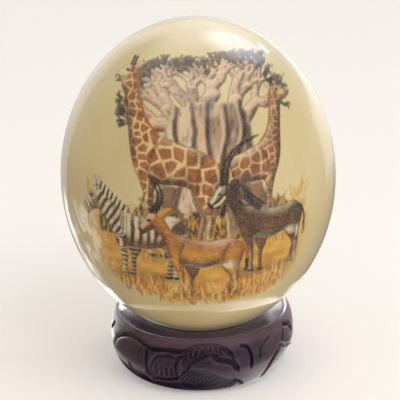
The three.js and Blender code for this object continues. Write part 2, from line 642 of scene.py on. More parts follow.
@dataclass
class Zebra(Animal):
    """A standing zebra."""

    EAR = [(-0.9, 0), (-0.6, 2.8), (0.4, 4.2), (1.1, 2.4), (0.8, 0)]
    FAR_FORELEG = [
        (-9.5, 17), (-7.4, 11), (-7.6, 9), (-7.4, 4), (-7.8, 1), (-8.6, 0), (-5.2, 0), (-5.2, 4),
        (-4.8, 9.5), (-2.8, 13), (-2, 17),
    ]
    FAR_HIND_LEG = [
        (6, 18), (8.6, 13), (10, 10.5), (8.8, 5), (8.6, 1), (7.8, 0), (11, 0), (11.2, 4.5), (12.6, 10.5),
        (13.4, 17),
    ]
    OUTLINE = [
        (-32.6, 27.2), (-33, 29.6), (-31.6, 32.6), (-29.2, 36.2), (-26.6, 39.2), (-23.6, 40.4), (-20, 38.8),
        (-16.4, 35.8), (-12.8, 32.4), (-8.5, 30.6), (-2, 29.2), (5, 29.4), (11, 30.6), (15.4, 28.8),
        (17.6, 25), (17.8, 20.5), (16.4, 16.5), (15.6, 13), (16.2, 11), (14.8, 6.5), (14.6, 1.6), (15.4, 0),
        (11.4, 0), (12, 5.5), (12.6, 10.4), (10, 13.6), (7.6, 16), (1, 14.8), (-5, 15.2), (-8.6, 16.4),
        (-9.2, 12), (-9, 9.2), (-9.6, 5), (-9.4, 1.4), (-8.8, 0), (-12.8, 0), (-12.2, 4.6), (-12.4, 9.4),
        (-13.4, 13.6), (-15.2, 18), (-17, 22.4), (-19.6, 26), (-23, 28.8), (-26, 28.6), (-29, 26.6),
        (-31.4, 25.8),
    ]

    SHADOWS = [
        ([(-9, 17.6), (-1, 17), (7, 17.6)], 4.0, 2.4, 0.6),
        ([(-14, 33), (-15, 28), (-14, 21)], 2.2, 1.2, 0.4),
        ([(8, 27), (5.5, 22), (6, 17)], 2.2, 1.2, 0.4),
    ]

    def mark(self, canvas: Canvas, patch: Patch) -> None:
        """Paints the stripes: upright on the barrel, sloping on the rump, level on the legs.

        Args:
            canvas: What it is painted on.
            patch: The animal's outline.
        """
        x, y = self.own(canvas, patch)
        sway = 1.6 * (mottle(x * 0.3, y * 0.3, self.seed) - 0.5)
        barrel = x * 1.75 + 0.9 * np.sin(y * 0.16) + sway
        rump = 24.0 - np.arctan2(y - 12.0, x - 1.0) * 13.0 + sway
        legs = y * 2.7 + 0.5 * x + sway
        neck = (-(x + 11) * 0.78 + (y - 28) * 0.62) * 2.0 + sway
        head = (x * 0.75 + y * 0.66) * 2.5
        hind = ease(x, 2.0, 7.0)
        phase = barrel * (1 - hind) + rump * hind
        low = ease(14.5 - y, 0, 3)
        phase = phase * (1 - low) + legs * low
        fore = ease(-8.5 - x, 0, 4.0) * ease(y, 17, 21)
        phase = phase * (1 - fore) + neck * fore
        face = ease(-24.5 - x, 0, 2.5)
        phase = phase * (1 - face) + head * face
        belly = 1 - 0.8 * ease(17.5 - y, 0, 2.5) * (1 - low) * ease(x, -8, -5) * (1 - ease(x, 5, 8))
        canvas.tint(patch.near, patch.mask * ease(np.sin(phase), -0.25, 0.25) * 0.92 * belly, SOOT)

    def paint(self, canvas: Canvas) -> None:
        """Paints the animal.

        Args:
            canvas: What it is painted on.
        """
        pale = ink(228, 210, 178)
        for leg in self.far_legs(canvas, ink(168, 148, 126), 2.0):
            _, y = self.own(canvas, leg)
            canvas.tint(leg.near, leg.mask * ease(np.sin(y * 2.9), -0.2, 0.2) * 0.8, SOOT)
        patch = self.wash(canvas, self.OUTLINE, pale)
        self.mark(canvas, patch)
        canvas.hair(patch, BROWN, (1.0, 0.1), 0.25, self.seed)
        canvas.model(patch, 6.5 * self.size, BROWN, CREAM, 0.8)
        canvas.contour(patch, DEEP_BROWN, 0.7, 0.7)
        self.shade(canvas)
        self.brush(canvas, [(-32.8, 29.6), (-31.8, 27.4), (-30.4, 26.6)], SOOT, 2.6, 2.4, 0.9)
        for lock in range(17):
            s = lock / 16
            x, y = -25.6 + 16.0 * s, 40.2 - 9.2 * s**1.15
            colour = SOOT if lock % 2 else pale
            self.brush(canvas, [(x, y - 0.4), (x + 1.1, y + 2.6 - 0.8 * s)], colour, 1.15, 0.8)
        for x, y in ((-25.8, 39.4), (-23.4, 39.8)):
            ear_points = [(x + across, y + up) for across, up in self.EAR]
            canvas.contour(self.fill(canvas, ear_points, pale, 1.0), SOOT, 0.5, 0.9)
        self.brush(canvas, [(-28.4, 34.6), (-27.6, 34.4)], SOOT, 1.4, 1.2)
        self.brush(canvas, [(17.4, 27), (19.4, 21), (19, 16)], BROWN, 1.0, 0.8)
        self.brush(canvas, [(19.2, 18), (19.6, 13.5), (18.6, 10)], SOOT, 1.2, 2.2)
        self.hooves(canvas, [-11, 13.4, -7, 9.6], 1.1)


class Horns(Enum):
    """Shape of an antelope's horns."""

    LYRE = "lyre"
    SWEPT = "swept"


@dataclass
class Antelope(Animal):
    """A standing antelope."""

    coat: Ink = OCHRE
    back: Ink = RUST
    belly: Ink = CREAM
    horns: Horns = Horns.LYRE
    sheen: float = 0.2

    FAR_FORELEG = [
        (-8.4, 17), (-6.4, 11), (-6.4, 8.5), (-6.3, 4), (-6.6, 0.6), (-4.6, 0.4), (-4.7, 4), (-4.4, 8.8),
        (-3, 12), (-2, 17),
    ]
    FAR_HIND_LEG = [
        (5.6, 18), (7.6, 13), (9.6, 10.2), (8.6, 5), (8.2, 0.6), (10.2, 0.4), (10.6, 5), (12, 10.4),
        (12.6, 17),
    ]
    OUTLINE = [
        (-25.6, 30.2), (-26.2, 32), (-24.4, 34.4), (-22.4, 37.4), (-20, 39.4), (-17.4, 38.8), (-15.6, 36),
        (-13.6, 32.6), (-10.8, 30), (-6.5, 28.6), (-1, 27.2), (5, 27.4), (10.4, 27.8), (14.2, 25.6),
        (15.6, 22), (14.8, 18), (13.6, 14.4), (13.4, 11), (12.9, 6), (12.6, 1), (10.8, 0.4), (10.4, 4.6),
        (10.6, 10), (8.2, 13.4), (5.6, 16.2), (0, 15), (-5, 15.6), (-8, 16.6), (-8.2, 12), (-8.2, 8.6),
        (-8.5, 4.4), (-8.4, 0.8), (-10.6, 0.4), (-10.4, 4.4), (-10.4, 8.8), (-11.4, 13.4), (-13.4, 18.4),
        (-14.8, 22.4), (-16, 26.6), (-17.8, 30.2), (-20, 31.4), (-22.6, 30), (-24.4, 29.2),
    ]
    SHADOWS = [
        ([(-8.2, 25.5), (-9.8, 21), (-9.6, 17.5)], 1.4, 0.7, 0.65),
        ([(9.6, 25), (7.4, 21), (7, 17)], 1.3, 0.7, 0.65),
        ([(-16.6, 29.5), (-14.6, 24.5), (-13.2, 20)], 1.8, 1.2, 0.65),
        ([(-7, 17.5), (-1, 16.5), (5, 17.6)], 1.6, 1.0, 0.65),
    ]

    HORN_CURVES = {
        Horns.LYRE: [(-20.6, 38.8), (-17.8, 43.6), (-18.4, 48), (-21.6, 52.6)],
        Horns.SWEPT: [(-20.4, 38.8), (-19.4, 46), (-14.6, 52.4), (-6.6, 56)],
    }

    def paint(self, canvas: Canvas) -> None:
        """Paints the animal.

        Args:
            canvas: What it is painted on.
        """
        self.far_legs(canvas, ink(120, 86, 64), 1.8)
        patch = self.wash(canvas, self.OUTLINE, self.coat)
        x, y = self.own(canvas, patch)
        canvas.tint(patch.near, patch.mask * ease(y + 0.08 * x, 20, 26) * 0.8, self.back)
        under = ease(18.4 - y, 0, 2.4) * ease(y, 13, 14.5) * ease(x, -9.5, -7)
        canvas.tint(patch.near, patch.mask * under * 0.85, self.belly)
        canvas.tint(patch.near, patch.mask * ease(12 - y, 0, 4) * 0.45, TAN)
        canvas.hair(patch, DEEP_BROWN, (1.0, -0.25), 0.3, self.seed, 0.45)
        canvas.hair(patch, CREAM, (1.0, -0.35), self.sheen, self.seed + 1)
        canvas.model(patch, 6.0 * self.size, DEEP_BROWN, CREAM, 0.85)
        canvas.contour(patch, SOOT, 0.8, 0.75)
        self.shade(canvas)
        self.brush(canvas, [(-25.8, 31.4), (-24.6, 29.9)], SOOT, 1.4, 1.2, 0.9)
        self.brush(canvas, [(-22, 35), (-21.2, 35)], SOOT, 1.3, 1.1)
        ear_points = [(-18.6, 37.8), (-15.4, 40.4), (-12.2, 40.6), (-14.4, 38), (-16.8, 36.2)]
        canvas.contour(self.fill(canvas, ear_points, self.coat, 1.0), DEEP_BROWN, 0.5, 0.8)
        for shift in (0.0, 1.6):
            horn = [(across + shift, up) for across, up in self.HORN_CURVES[self.horns]]
            self.brush(canvas, horn, SOOT, 1.9, 0.5, 0.95)
        self.brush(canvas, [(14.8, 25), (16.8, 20), (16.4, 15.5)], self.back, 1.0, 1.3)
        self.brush(canvas, [(16.6, 17), (16.6, 14), (16, 12)], SOOT, 1.3, 1.0)
        self.hooves(canvas, [-9.5, 11.7, -5.6, 9.2], 0.8)


@dataclass
class Sable(Antelope):
    """A dark antelope with swept horns, a mane and a pale belly."""

    coat: Ink = ink(112, 76, 58)
    back: Ink = ink(66, 47, 45)
    horns: Horns = Horns.SWEPT
    sheen: float = 0.06

    BLAZES = [
        ([(-21.4, 37), (-23.2, 34), (-24.6, 31.6)], 0.9, 0.7),
        ([(-19.6, 33.6), (-21.4, 31.6), (-23.6, 30.4)], 1.0, 0.8),
        ([(12.8, 16), (12.2, 12)], 1.0, 0.8),
    ]

    def paint(self, canvas: Canvas) -> None:
        """Paints the animal.

        Args:
            canvas: What it is painted on.
        """
        super().paint(canvas)
        for points, width, tip in self.BLAZES:
            self.brush(canvas, points, CREAM, width, tip, 0.85)
        for lock in range(15):
            s = lock / 14
            x, y = -17.2 + 11.5 * s, 38.6 - 10.6 * s**0.8
            self.brush(canvas, [(x, y - 0.6), (x + 1.7, y + 1.6), (x + 3.0, y + 1.2)], SOOT, 1.3, 0.5, 0.9)


@dataclass
class Limb:
    """One piece of a branch.

    Attributes:
        curve: Points along it.
        width: Its width where it starts.
        tip: Its width where it ends.
    """

    curve: np.ndarray
    width: float
    tip: float


@dataclass
class Baobab:
    """A broad old baobab that stands behind the animals.

    Attributes:
        shift: How far right of the picture's middle line it stands.
        seed: Chooses how its crown grows.
        taper: How much narrower each limb is where it ends.
        thinnest: Width at which a twig stops dividing.
        limbs: Every piece of the crown, once it has grown.
    """

    shift: float = 4.0
    seed: int = 8
    taper: float = 0.72
    thinnest: float = 0.85
    limbs: list[Limb] = field(default_factory=list)

    BASES = [
        (-13, 41, 162, 8.0), (-11, 45, 132, 9.0), (-5, 47, 108, 8.5), (2, 48, 84, 9.0), (9, 47, 60, 8.5),
        (13, 44, 38, 8.0),
    ]
    TRUNK = [
        (-24, 6), (-21, 16), (-19, 26), (-18.5, 36), (-17, 43), (-12, 49), (-4, 51), (3, 52), (10, 51),
        (16, 48), (19.5, 42), (20.5, 34), (21.5, 25), (24, 15), (29, 6), (22, 3.5), (14, 5), (6, 3),
        (-3, 5), (-12, 3), (-19, 4.5),
    ]
    FOLDS = ((-12, -1.5), (-6, 1.0), (1, -0.6), (8, 1.4), (15, 2.0))
    BARK = ink(222, 188, 158)
    DARK = ink(70, 56, 58)

    def place(self, points: list[Point]) -> list[Point]:
        """Moves points of the tree to where it stands."""
        return [(x + self.shift, y) for x, y in points]

    def paint(self, canvas: Canvas) -> None:
        """Paints trunk, limbs and twigs.

        Args:
            canvas: What it is painted on.
        """
        rng = np.random.default_rng(self.seed)
        for x, y, heading, width in self.BASES:
            self.grow(rng, (x + self.shift, y - 2), math.radians(heading), width, 9.0)
        self.limbs.sort(key=lambda limb: limb.width)
        self.crown(canvas)
        self.trunk(canvas)
        self.leaves(canvas, rng)

    def grow(self, rng: np.random.Generator, at: Point, heading: float, width: float, length: float) -> None:
        """Grows a limb and the limbs that part from its end.

        Args:
            rng: Source of the limbs' wander.
            at: Where the limb starts.
            heading: Direction in radians, anticlockwise from the right.
            width: Its width where it starts.
            length: Its length.
        """
        bend = rng.normal(0.0, 0.25)
        reached = length * rng.uniform(0.8, 1.15)
        middle = (
            at[0] + 0.5 * reached * math.cos(heading + bend),
            at[1] + 0.5 * reached * math.sin(heading + bend),
        )
        end = (at[0] + reached * math.cos(heading), at[1] + reached * math.sin(heading))
        self.limbs.append(Limb(flowing([at, middle, end], steps=3), width, width * self.taper))
        if width < self.thinnest:
            return
        spread = rng.uniform(0.3, 0.55)
        for side in (-1, 1):
            child = heading + side * spread + rng.normal(0.0, 0.14)
            child += 0.1 * (math.pi / 2 - child)
            narrower = width * self.taper * rng.uniform(0.78, 1.0)
            self.grow(rng, end, child, narrower, length * rng.uniform(0.7, 0.84))

    def crown(self, canvas: Canvas) -> None:
        """Paints the limbs, with every edge under every fill so that they join.

        Args:
            canvas: What it is painted on.
        """
        for limb in self.limbs:
            canvas.stroke(limb.curve, self.DARK, limb.width + 0.8, limb.tip + 0.6, 0.85)
        for limb in self.limbs:
            if limb.width < 1.5:
                continue
            patch = canvas.stroke(limb.curve, self.BARK, limb.width, limb.tip)
            run = tuple(limb.curve[-1] - limb.curve[0])
            canvas.hair(patch, ink(110, 84, 76), run, 0.55, 4.0, 0.6)
            canvas.model(patch, limb.width * 0.45, self.DARK, CREAM, 0.95)

    def trunk(self, canvas: Canvas) -> None:
        """Paints the trunk with its folds and bark.

        Args:
            canvas: What it is painted on.
        """
        patch = canvas.blob(flowing(self.place(self.TRUNK), True), self.BARK, 1.2)
        near, u, v = patch.near, canvas.u[patch.near], canvas.v[patch.near]
        across = (u - self.shift) / 22.0
        lit = ease(-across, 0.2, 0.8) * (1 - ease(-across, 0.75, 1.05))
        rim = (1 - ease(patch.depth, 0.0, 1.2)) * ease(44 - v, 0, 6)
        canvas.tint(near, patch.mask * ease(across, -0.15, 0.95) * 0.85, self.DARK)
        canvas.tint(near, patch.mask * lit * 0.5, CREAM)
        canvas.tint(near, patch.mask * rim * 0.8, self.DARK)
        folds = mottle(u * 0.34 + 1.4 * mottle(u * 0.12, v * 0.12, 7.0), v * 0.045, 9.0)
        canvas.tint(near, patch.mask * ease(folds, 0.5, 0.9) * 0.65, ink(96, 74, 70))
        canvas.tint(near, patch.mask * ease(1 - folds, 0.55, 0.95) * 0.4, ink(242, 218, 188))
        canvas.hair(patch, self.DARK, (0.05, 1.0), 0.55, 11.0, 0.9)
        canvas.hair(patch, ink(240, 214, 180), (-0.05, 1.0), 0.4, 13.0, 1.3)
        for x, sway in self.FOLDS:
            fold = [(x, 52), (x + sway, 38), (x - sway, 24), (x + sway * 2, 6)]
            canvas.stroke(flowing(self.place(fold)), ink(58, 44, 48), 1.4, 3.4, 0.85, 0.9, True)
            lit_edge = [(fold_x - 2.0, fold_y) for fold_x, fold_y in fold]
            canvas.stroke(flowing(self.place(lit_edge)), ink(240, 216, 184), 0.9, 1.8, 0.5, 0.7, True)

    def leaves(self, canvas: Canvas, rng: np.random.Generator) -> None:
        """Dabs sparse leaves at the twigs' ends.

        Args:
            canvas: What it is painted on.
            rng: Source of the leaves' scatter.
        """
        for limb in self.limbs:
            if limb.width >= self.thinnest or rng.random() < 0.35:
                continue
            u, v = limb.curve[-1] + rng.normal(0.0, 0.8, 2)
            leaf = np.array([(u, v), (u + rng.uniform(-1.4, 1.4), v + rng.uniform(-0.4, 1.0))])
            colour = ink(128, 112, 74) if rng.random() < 0.6 else ink(88, 78, 62)
            canvas.stroke(leaf, colour, 1.5, 0.9, 0.75, 0.4)


@dataclass
class Grassland:
    """The dry ground, its thicket and its grass."""

    seed: int = 5
    low: float = -43.0
    high: float = 3.5
    half: float = 56.0
    DRY = (GOLD, PALE_GOLD, OCHRE, ink(186, 128, 66))
    FRONT = (GOLD, PALE_GOLD, OCHRE, ink(150, 88, 48), ink(236, 210, 150), RUST)

    def __post_init__(self) -> None:
        """Seeds the scatter of the blades."""
        self.rng = np.random.default_rng(self.seed)

    def ground(self, canvas: Canvas) -> None:
        """Washes in the ground.

        Args:
            canvas: What it is painted on.
        """
        u, v = canvas.u, canvas.v
        wander = mottle(u * 0.10, v * 0.10, 21.0) - 0.5
        low = self.low + 0.004 * u * u + wander * 7
        high = self.high - 0.0016 * u * u + wander * 5
        side = 1 - ease(np.abs(u + 1) + wander * 9, self.half - 9, self.half + 4)
        mask = ease(v, low - 3, low + 3.5) * (1 - ease(v, high - 7, high + 1)) * side
        everywhere = np.arange(len(u))
        tone = mottle(u * 0.16, v * 0.4, 23.0)
        canvas.lay(everywhere, mask * 0.92, GOLD)
        canvas.tint(everywhere, mask * ease(tone, 0.45, 0.9) * 0.6, PALE_GOLD)
        canvas.tint(everywhere, mask * ease(1 - tone, 0.55, 0.95) * 0.45, RUST)
        canvas.tint(everywhere, mask * (1 - ease(v, low, low + 14)) * 0.4, OCHRE)

    def bushes(self, canvas: Canvas) -> None:
        """Paints the dark thicket between the trees and the herd.

        Args:
            canvas: What it is painted on.
        """
        inks = (ink(70, 60, 54), ink(92, 80, 58), ink(120, 100, 66), ink(52, 44, 46), ink(146, 118, 72))
        for _ in range(1000):
            u = self.rng.uniform(-48, 48)
            crest = 8.0 + 3.4 * math.sin(u * 0.21) + 2.4 * math.sin(u * 0.53 + 1.0) - 0.0035 * u * u
            v = self.rng.uniform(-8, crest)
            turn = self.rng.uniform(0.2, 2.9)
            length = self.rng.uniform(0.8, 2.4)
            spray = np.array([(u, v), (u + length * math.cos(turn), v + length * math.sin(turn))])
            light = 2 + self.rng.integers(3) if v > crest - 3 else self.rng.integers(4)
            canvas.stroke(spray, inks[light if light != 3 else 1], 2.0, 0.9, 0.8, 0.45)

    def shadow(self, canvas: Canvas, u: float, v: float, width: float) -> None:
        """Lays an animal's shadow on the grass."""
        line = np.array([(u - width / 2, v), (u + width / 2, v + 0.6)])
        canvas.stroke(line, DEEP_BROWN, 6.0, 4.0, 0.5, 2.4, True)

    def blades(self, canvas: Canvas, count: int, low: float, high: float, inks: tuple, tall: float) -> None:
        """Scatters blades of grass in a band.

        Args:
            canvas: What they are drawn on.
            count: How many.
            low: Lower edge of their feet.
            high: Upper edge of their feet.
            inks: Colours to choose from.
            tall: Usual height of a blade.
        """
        for _ in range(count):
            u = self.rng.uniform(-self.half, self.half - 2)
            v = self.rng.uniform(low, high) + 0.004 * u * u
            height = tall * self.rng.uniform(0.5, 1.2)
            lean = self.rng.normal(0.0, 0.3) * height
            blade = flowing([(u, v), (u + lean * 0.35, v + height * 0.6), (u + lean, v + height)], steps=3)
            colour = inks[self.rng.integers(len(inks))]
            canvas.stroke(blade, colour, 0.75, 0.3, 0.8, 0.3)


@dataclass
class SavannaPicture:
    """The whole picture, from its far hills to its front grass."""

    middle: Point = (-0.5, 22.0)
    half_width: float = 64.0
    half_height: float = 84.0

    def paint(self, u: np.ndarray, v: np.ndarray) -> tuple[np.ndarray, np.ndarray]:
        """Paints the picture.

        Args:
            u: Millimetres to the right of the picture's middle line.
            v: Millimetres above the egg's widest ring.

        Returns:
            The ink of each point in linear light, and how fully it covers.
        """
        canvas = Canvas(u, v)
        land = Grassland()
        land.ground(canvas)
        Baobab().paint(canvas)
        land.bushes(canvas)
        land.blades(canvas, 300, -11, -1, land.DRY, 4.5)
        for u_at, v_at, width in ((-9, -17, 26), (24, -9, 20), (31, -27, 30)):
            land.shadow(canvas, u_at, v_at, width)
        Giraffe((23, -9), 0.74, Facing.RIGHT, 6.0, 0.22, markings=ink(150, 84, 48)).paint(canvas)
        coat, markings = ink(236, 204, 150), ink(162, 86, 40)
        Giraffe((-10, -17), 0.98, Facing.LEFT, 1.0, 0.16, coat=coat, markings=markings).paint(canvas)
        land.blades(canvas, 190, -24, -10, land.DRY, 5.0)
        Sable((33, -27), 1.12, Facing.LEFT, 7.0).paint(canvas)
        for u_at, v_at, width in ((-24, -29, 26), (2, -39, 30)):
            land.shadow(canvas, u_at, v_at, width)
        Zebra((-24, -29), 1.04, Facing.LEFT, 2.0).paint(canvas)
        Antelope((2, -39), 1.12, Facing.LEFT, 5.0).paint(canvas)
        land.blades(canvas, 470, -46, -34, land.FRONT, 5.5)
        canvas.cover *= 1 - ease(self.reach_out(u, v), 0.86, 1.0)
        return canvas.ink, canvas.cover

    def reach_out(self, u: np.ndarray, v: np.ndarray) -> np.ndarray:
        """Measures from the picture's middle, with 1 at its edge."""
        return np.hypot((u - self.middle[0]) / self.half_width, (v - self.middle[1]) / self.half_height)

    def covers(self, u: np.ndarray, v: np.ndarray) -> np.ndarray:
        """Tells which places the picture reaches."""
        return (self.reach_out(u, v) < 1.03) & (v > -54.0)


# ---------------------------------------------------------------------------
# Shader sheets
# ---------------------------------------------------------------------------


class Value:
    """A number that changes over a surface, kept as a node's socket and used in sums."""

    def __init__(self, sheet: "NodeSheet", socket: bpy.types.NodeSocket) -> None:
        """Wraps a socket.

        Args:
            sheet: The sheet that new nodes go on.
            socket: The output socket that carries the number.
        """
        self.sheet = sheet
        self.socket = socket

    def __add__(self, other: "Value | float") -> "Value":
        """Adds."""
        return self.sheet.maths("ADD", self, other)

    __radd__ = __add__

    def __sub__(self, other: "Value | float") -> "Value":
        """Takes away."""
        return self.sheet.maths("SUBTRACT", self, other)

    def __rsub__(self, other: float) -> "Value":
        """Takes this value away from a number."""
        return self.sheet.maths("SUBTRACT", other, self)

    def __mul__(self, other: "Value | float") -> "Value":
        """Multiplies."""
        return self.sheet.maths("MULTIPLY", self, other)

    __rmul__ = __mul__

    def grey(self) -> bpy.types.NodeSocket:
        """Gives this value as a grey colour."""
        inputs = {"Red": self, "Green": self, "Blue": self}
        return self.sheet.node("ShaderNodeCombineColor", {}, inputs).outputs["Color"]

    def rise(self, low: float, high: float) -> "Value":
        """Rises from 0 at low to 1 at high, held at both ends.

        Args:
            low: Where the rise starts.
            high: Where the rise ends.

        Returns:
            The risen value.
        """
        ranged = self.sheet.node(
            "ShaderNodeMapRange",
            {"interpolation_type": "SMOOTHSTEP", "clamp": True},
            {"Value": self, "From Min": low, "From Max": high},
        )
        return Value(self.sheet, ranged.outputs["Result"])


class NodeSheet:
    """A node tree that is filled node by node."""

    def __init__(self, tree: bpy.types.NodeTree) -> None:
        """Clears a node tree.

        Args:
            tree: The tree to fill.
        """
        self.tree = tree
        self.tree.nodes.clear()

    def node(self, kind: str, settings: dict | None = None, inputs: dict | None = None) -> bpy.types.Node:
        """Adds one node.

        Args:
            kind: The node's type.
            settings: Its properties, which are set first.
            inputs: Values or links by socket name or number.

        Returns:
            The node.
        """
        made = self.tree.nodes.new(kind)
        for name, setting in (settings or {}).items():
            setattr(made, name, setting)
        for name, given in (inputs or {}).items():
            socket = made.inputs[name]
            if isinstance(given, Value):
                self.tree.links.new(given.socket, socket)
            elif isinstance(given, bpy.types.NodeSocket):
                self.tree.links.new(given, socket)
            elif isinstance(given, tuple) and socket.type == "RGBA":
                socket.default_value = (*given[:3], 1.0)
            else:
                socket.default_value = given
        return made

    def maths(self, operation: str, first: "Value | float", second: "Value | float") -> Value:
        """Works out one sum."""
        made = self.node("ShaderNodeMath", {"operation": operation}, {0: first, 1: second})
        return Value(self, made.outputs[0])

    def mix(
        self,
        share: "Value | float",
        first: object,
        second: object,
        blend: str = "MIX",
    ) -> bpy.types.NodeSocket:
        """Mixes two colours.

        Args:
            share: How much of the second colour shows.
            first: A colour or a colour socket.
            second: A colour or a colour socket.
            blend: How they mix.

        Returns:
            The mixed colour's socket.
        """
        settings = {"data_type": "RGBA", "blend_type": blend, "clamp_factor": True}
        return self.node("ShaderNodeMix", settings, {0: share, 6: first, 7: second}).outputs[2]

    def noise(
        self,
        place: bpy.types.NodeSocket,
        scale: float,
        detail: float = 2.0,
        distort: float = 0.0,
    ) -> Value:
        """Gives smooth noise from 0 to 1.

        Args:
            place: Coordinates.
            scale: Cells in a metre.
            detail: Octaves.
            distort: How far the cells are pulled about.

        Returns:
            The noise.
        """
        inputs = {"Vector": place, "Scale": scale, "Detail": detail, "Distortion": distort}
        return Value(self, self.node("ShaderNodeTexNoise", {}, inputs).outputs[0])

    def stretched(self, place: bpy.types.NodeSocket, scale: tuple, turn: tuple) -> bpy.types.NodeSocket:
        """Stretches and turns coordinates.

        Args:
            place: Coordinates.
            scale: Stretch along each axis.
            turn: Turn about each axis, in radians.

        Returns:
            The new coordinates' socket.
        """
        inputs = {"Vector": place, "Scale": scale, "Rotation": turn}
        return self.node("ShaderNodeMapping", {}, inputs).outputs[0]

    def channels(self, attribute: str) -> tuple[bpy.types.NodeSocket, Value, list[Value]]:
        """Reads a colour attribute.

        Args:
            attribute: Its name.

        Returns:
            Its colour, its alpha and its three channels.
        """
        read = self.node("ShaderNodeAttribute", {"attribute_name": attribute})
        parted = self.node("ShaderNodeSeparateColor", {}, {"Color": read.outputs["Color"]})
        shares = [Value(self, socket) for socket in parted.outputs]
        return read.outputs["Color"], Value(self, read.outputs["Alpha"]), shares

    def axes(self, place: bpy.types.NodeSocket) -> list[Value]:
        """Parts coordinates into their three axes."""
        parted = self.node("ShaderNodeSeparateXYZ", {}, {0: place})
        return [Value(self, socket) for socket in parted.outputs]

    def dot(self, place: bpy.types.NodeSocket, toward: Vector) -> Value:
        """Gives the dot product of coordinates and a vector."""
        made = self.node("ShaderNodeVectorMath", {"operation": "DOT_PRODUCT"}, {0: place, 1: toward})
        return Value(self, made.outputs["Value"])

    def surface(self, kind: str, inputs: dict, output: str = "ShaderNodeOutputMaterial") -> None:
        """Ends the sheet with a shader and its output."""
        shader = self.node(kind, {}, inputs)
        self.node(output, {}, {"Surface": shader.outputs[0]})


def new_material(name: str) -> tuple[bpy.types.Material, NodeSheet]:
    """Starts a material.

    Args:
        name: Its name.

    Returns:
        The material and its empty sheet.
    """
    material = bpy.data.materials.new(name)
    material.use_nodes = True
    return material, NodeSheet(material.node_tree)


@dataclass(frozen=True)
class LacqueredShell:
    """Cream eggshell with a printed picture under clear lacquer.

    Attributes:
        shell: The shell's usual colour.
        pale: Colour of its lighter clouds.
        tan: Colour of its darker clouds and pores.
        roughness: Roughness under the lacquer.
        lacquer_roughness: Roughness of the lacquer.
        picture: Name of the attribute that carries the picture.
    """

    shell: Ink = (0.71, 0.59, 0.315)
    pale: Ink = (0.76, 0.65, 0.375)
    tan: Ink = (0.58, 0.44, 0.23)
    roughness: float = 0.32
    lacquer_roughness: float = 0.025
    picture: str = "picture"

    def make(self) -> bpy.types.Material:
        """Builds the material.

        Returns:
            The material.
        """
        material, sheet = new_material("lacquered_shell")
        place = sheet.node("ShaderNodeTexCoord").outputs["Object"]
        clouds = sheet.noise(place, 22.0, 3.0, 0.4)
        grain = sheet.noise(place, 900.0, 2.0)
        pores = sheet.node("ShaderNodeTexVoronoi", {}, {"Vector": place, "Scale": 620.0, "Randomness": 1.0})
        pits = 1 - Value(sheet, pores.outputs["Distance"]).rise(0.06, 0.22)
        shell = sheet.mix(clouds.rise(0.35, 0.7), self.shell, self.pale)
        shell = sheet.mix(grain.rise(0.5, 0.8) * 0.22, shell, self.tan)
        shell = sheet.mix(pits * 0.28, shell, self.tan)

        printed, cover, _ = sheet.channels(self.picture)
        fibre = sheet.noise(place, 1500.0, 3.0)
        worn = sheet.noise(place, 260.0, 4.0, 0.6)
        printed = sheet.mix(fibre.rise(0.42, 0.72) * 0.16, printed, self.pale)
        specks = sheet.noise(place, 1150.0, 1.0).rise(0.74, 0.80) * 0.5
        printed = sheet.mix(specks, printed, (0.72, 0.68, 0.55))
        shown = cover * (1 - worn.rise(0.62, 0.86) * 0.22)
        colour = sheet.mix(shown, shell, printed)

        ripple = sheet.noise(place, 85.0, 2.0)
        fine = sheet.noise(place, 700.0, 2.0)
        raised = ripple * 0.7 + fine * 0.05 - pits * 0.05
        bump = sheet.node("ShaderNodeBump", {}, {"Strength": 0.25, "Distance": 0.0004, "Height": raised})
        inputs = {
            "Base Color": colour,
            "Roughness": self.roughness + 0.1 * fine,
            "Normal": bump.outputs[0],
            "Specular IOR Level": 0.12,
            "Coat Weight": 1.0,
            "Coat Roughness": self.lacquer_roughness,
            "Coat IOR": 1.52,
        }
        sheet.surface("ShaderNodeBsdfPrincipled", inputs)
        return material


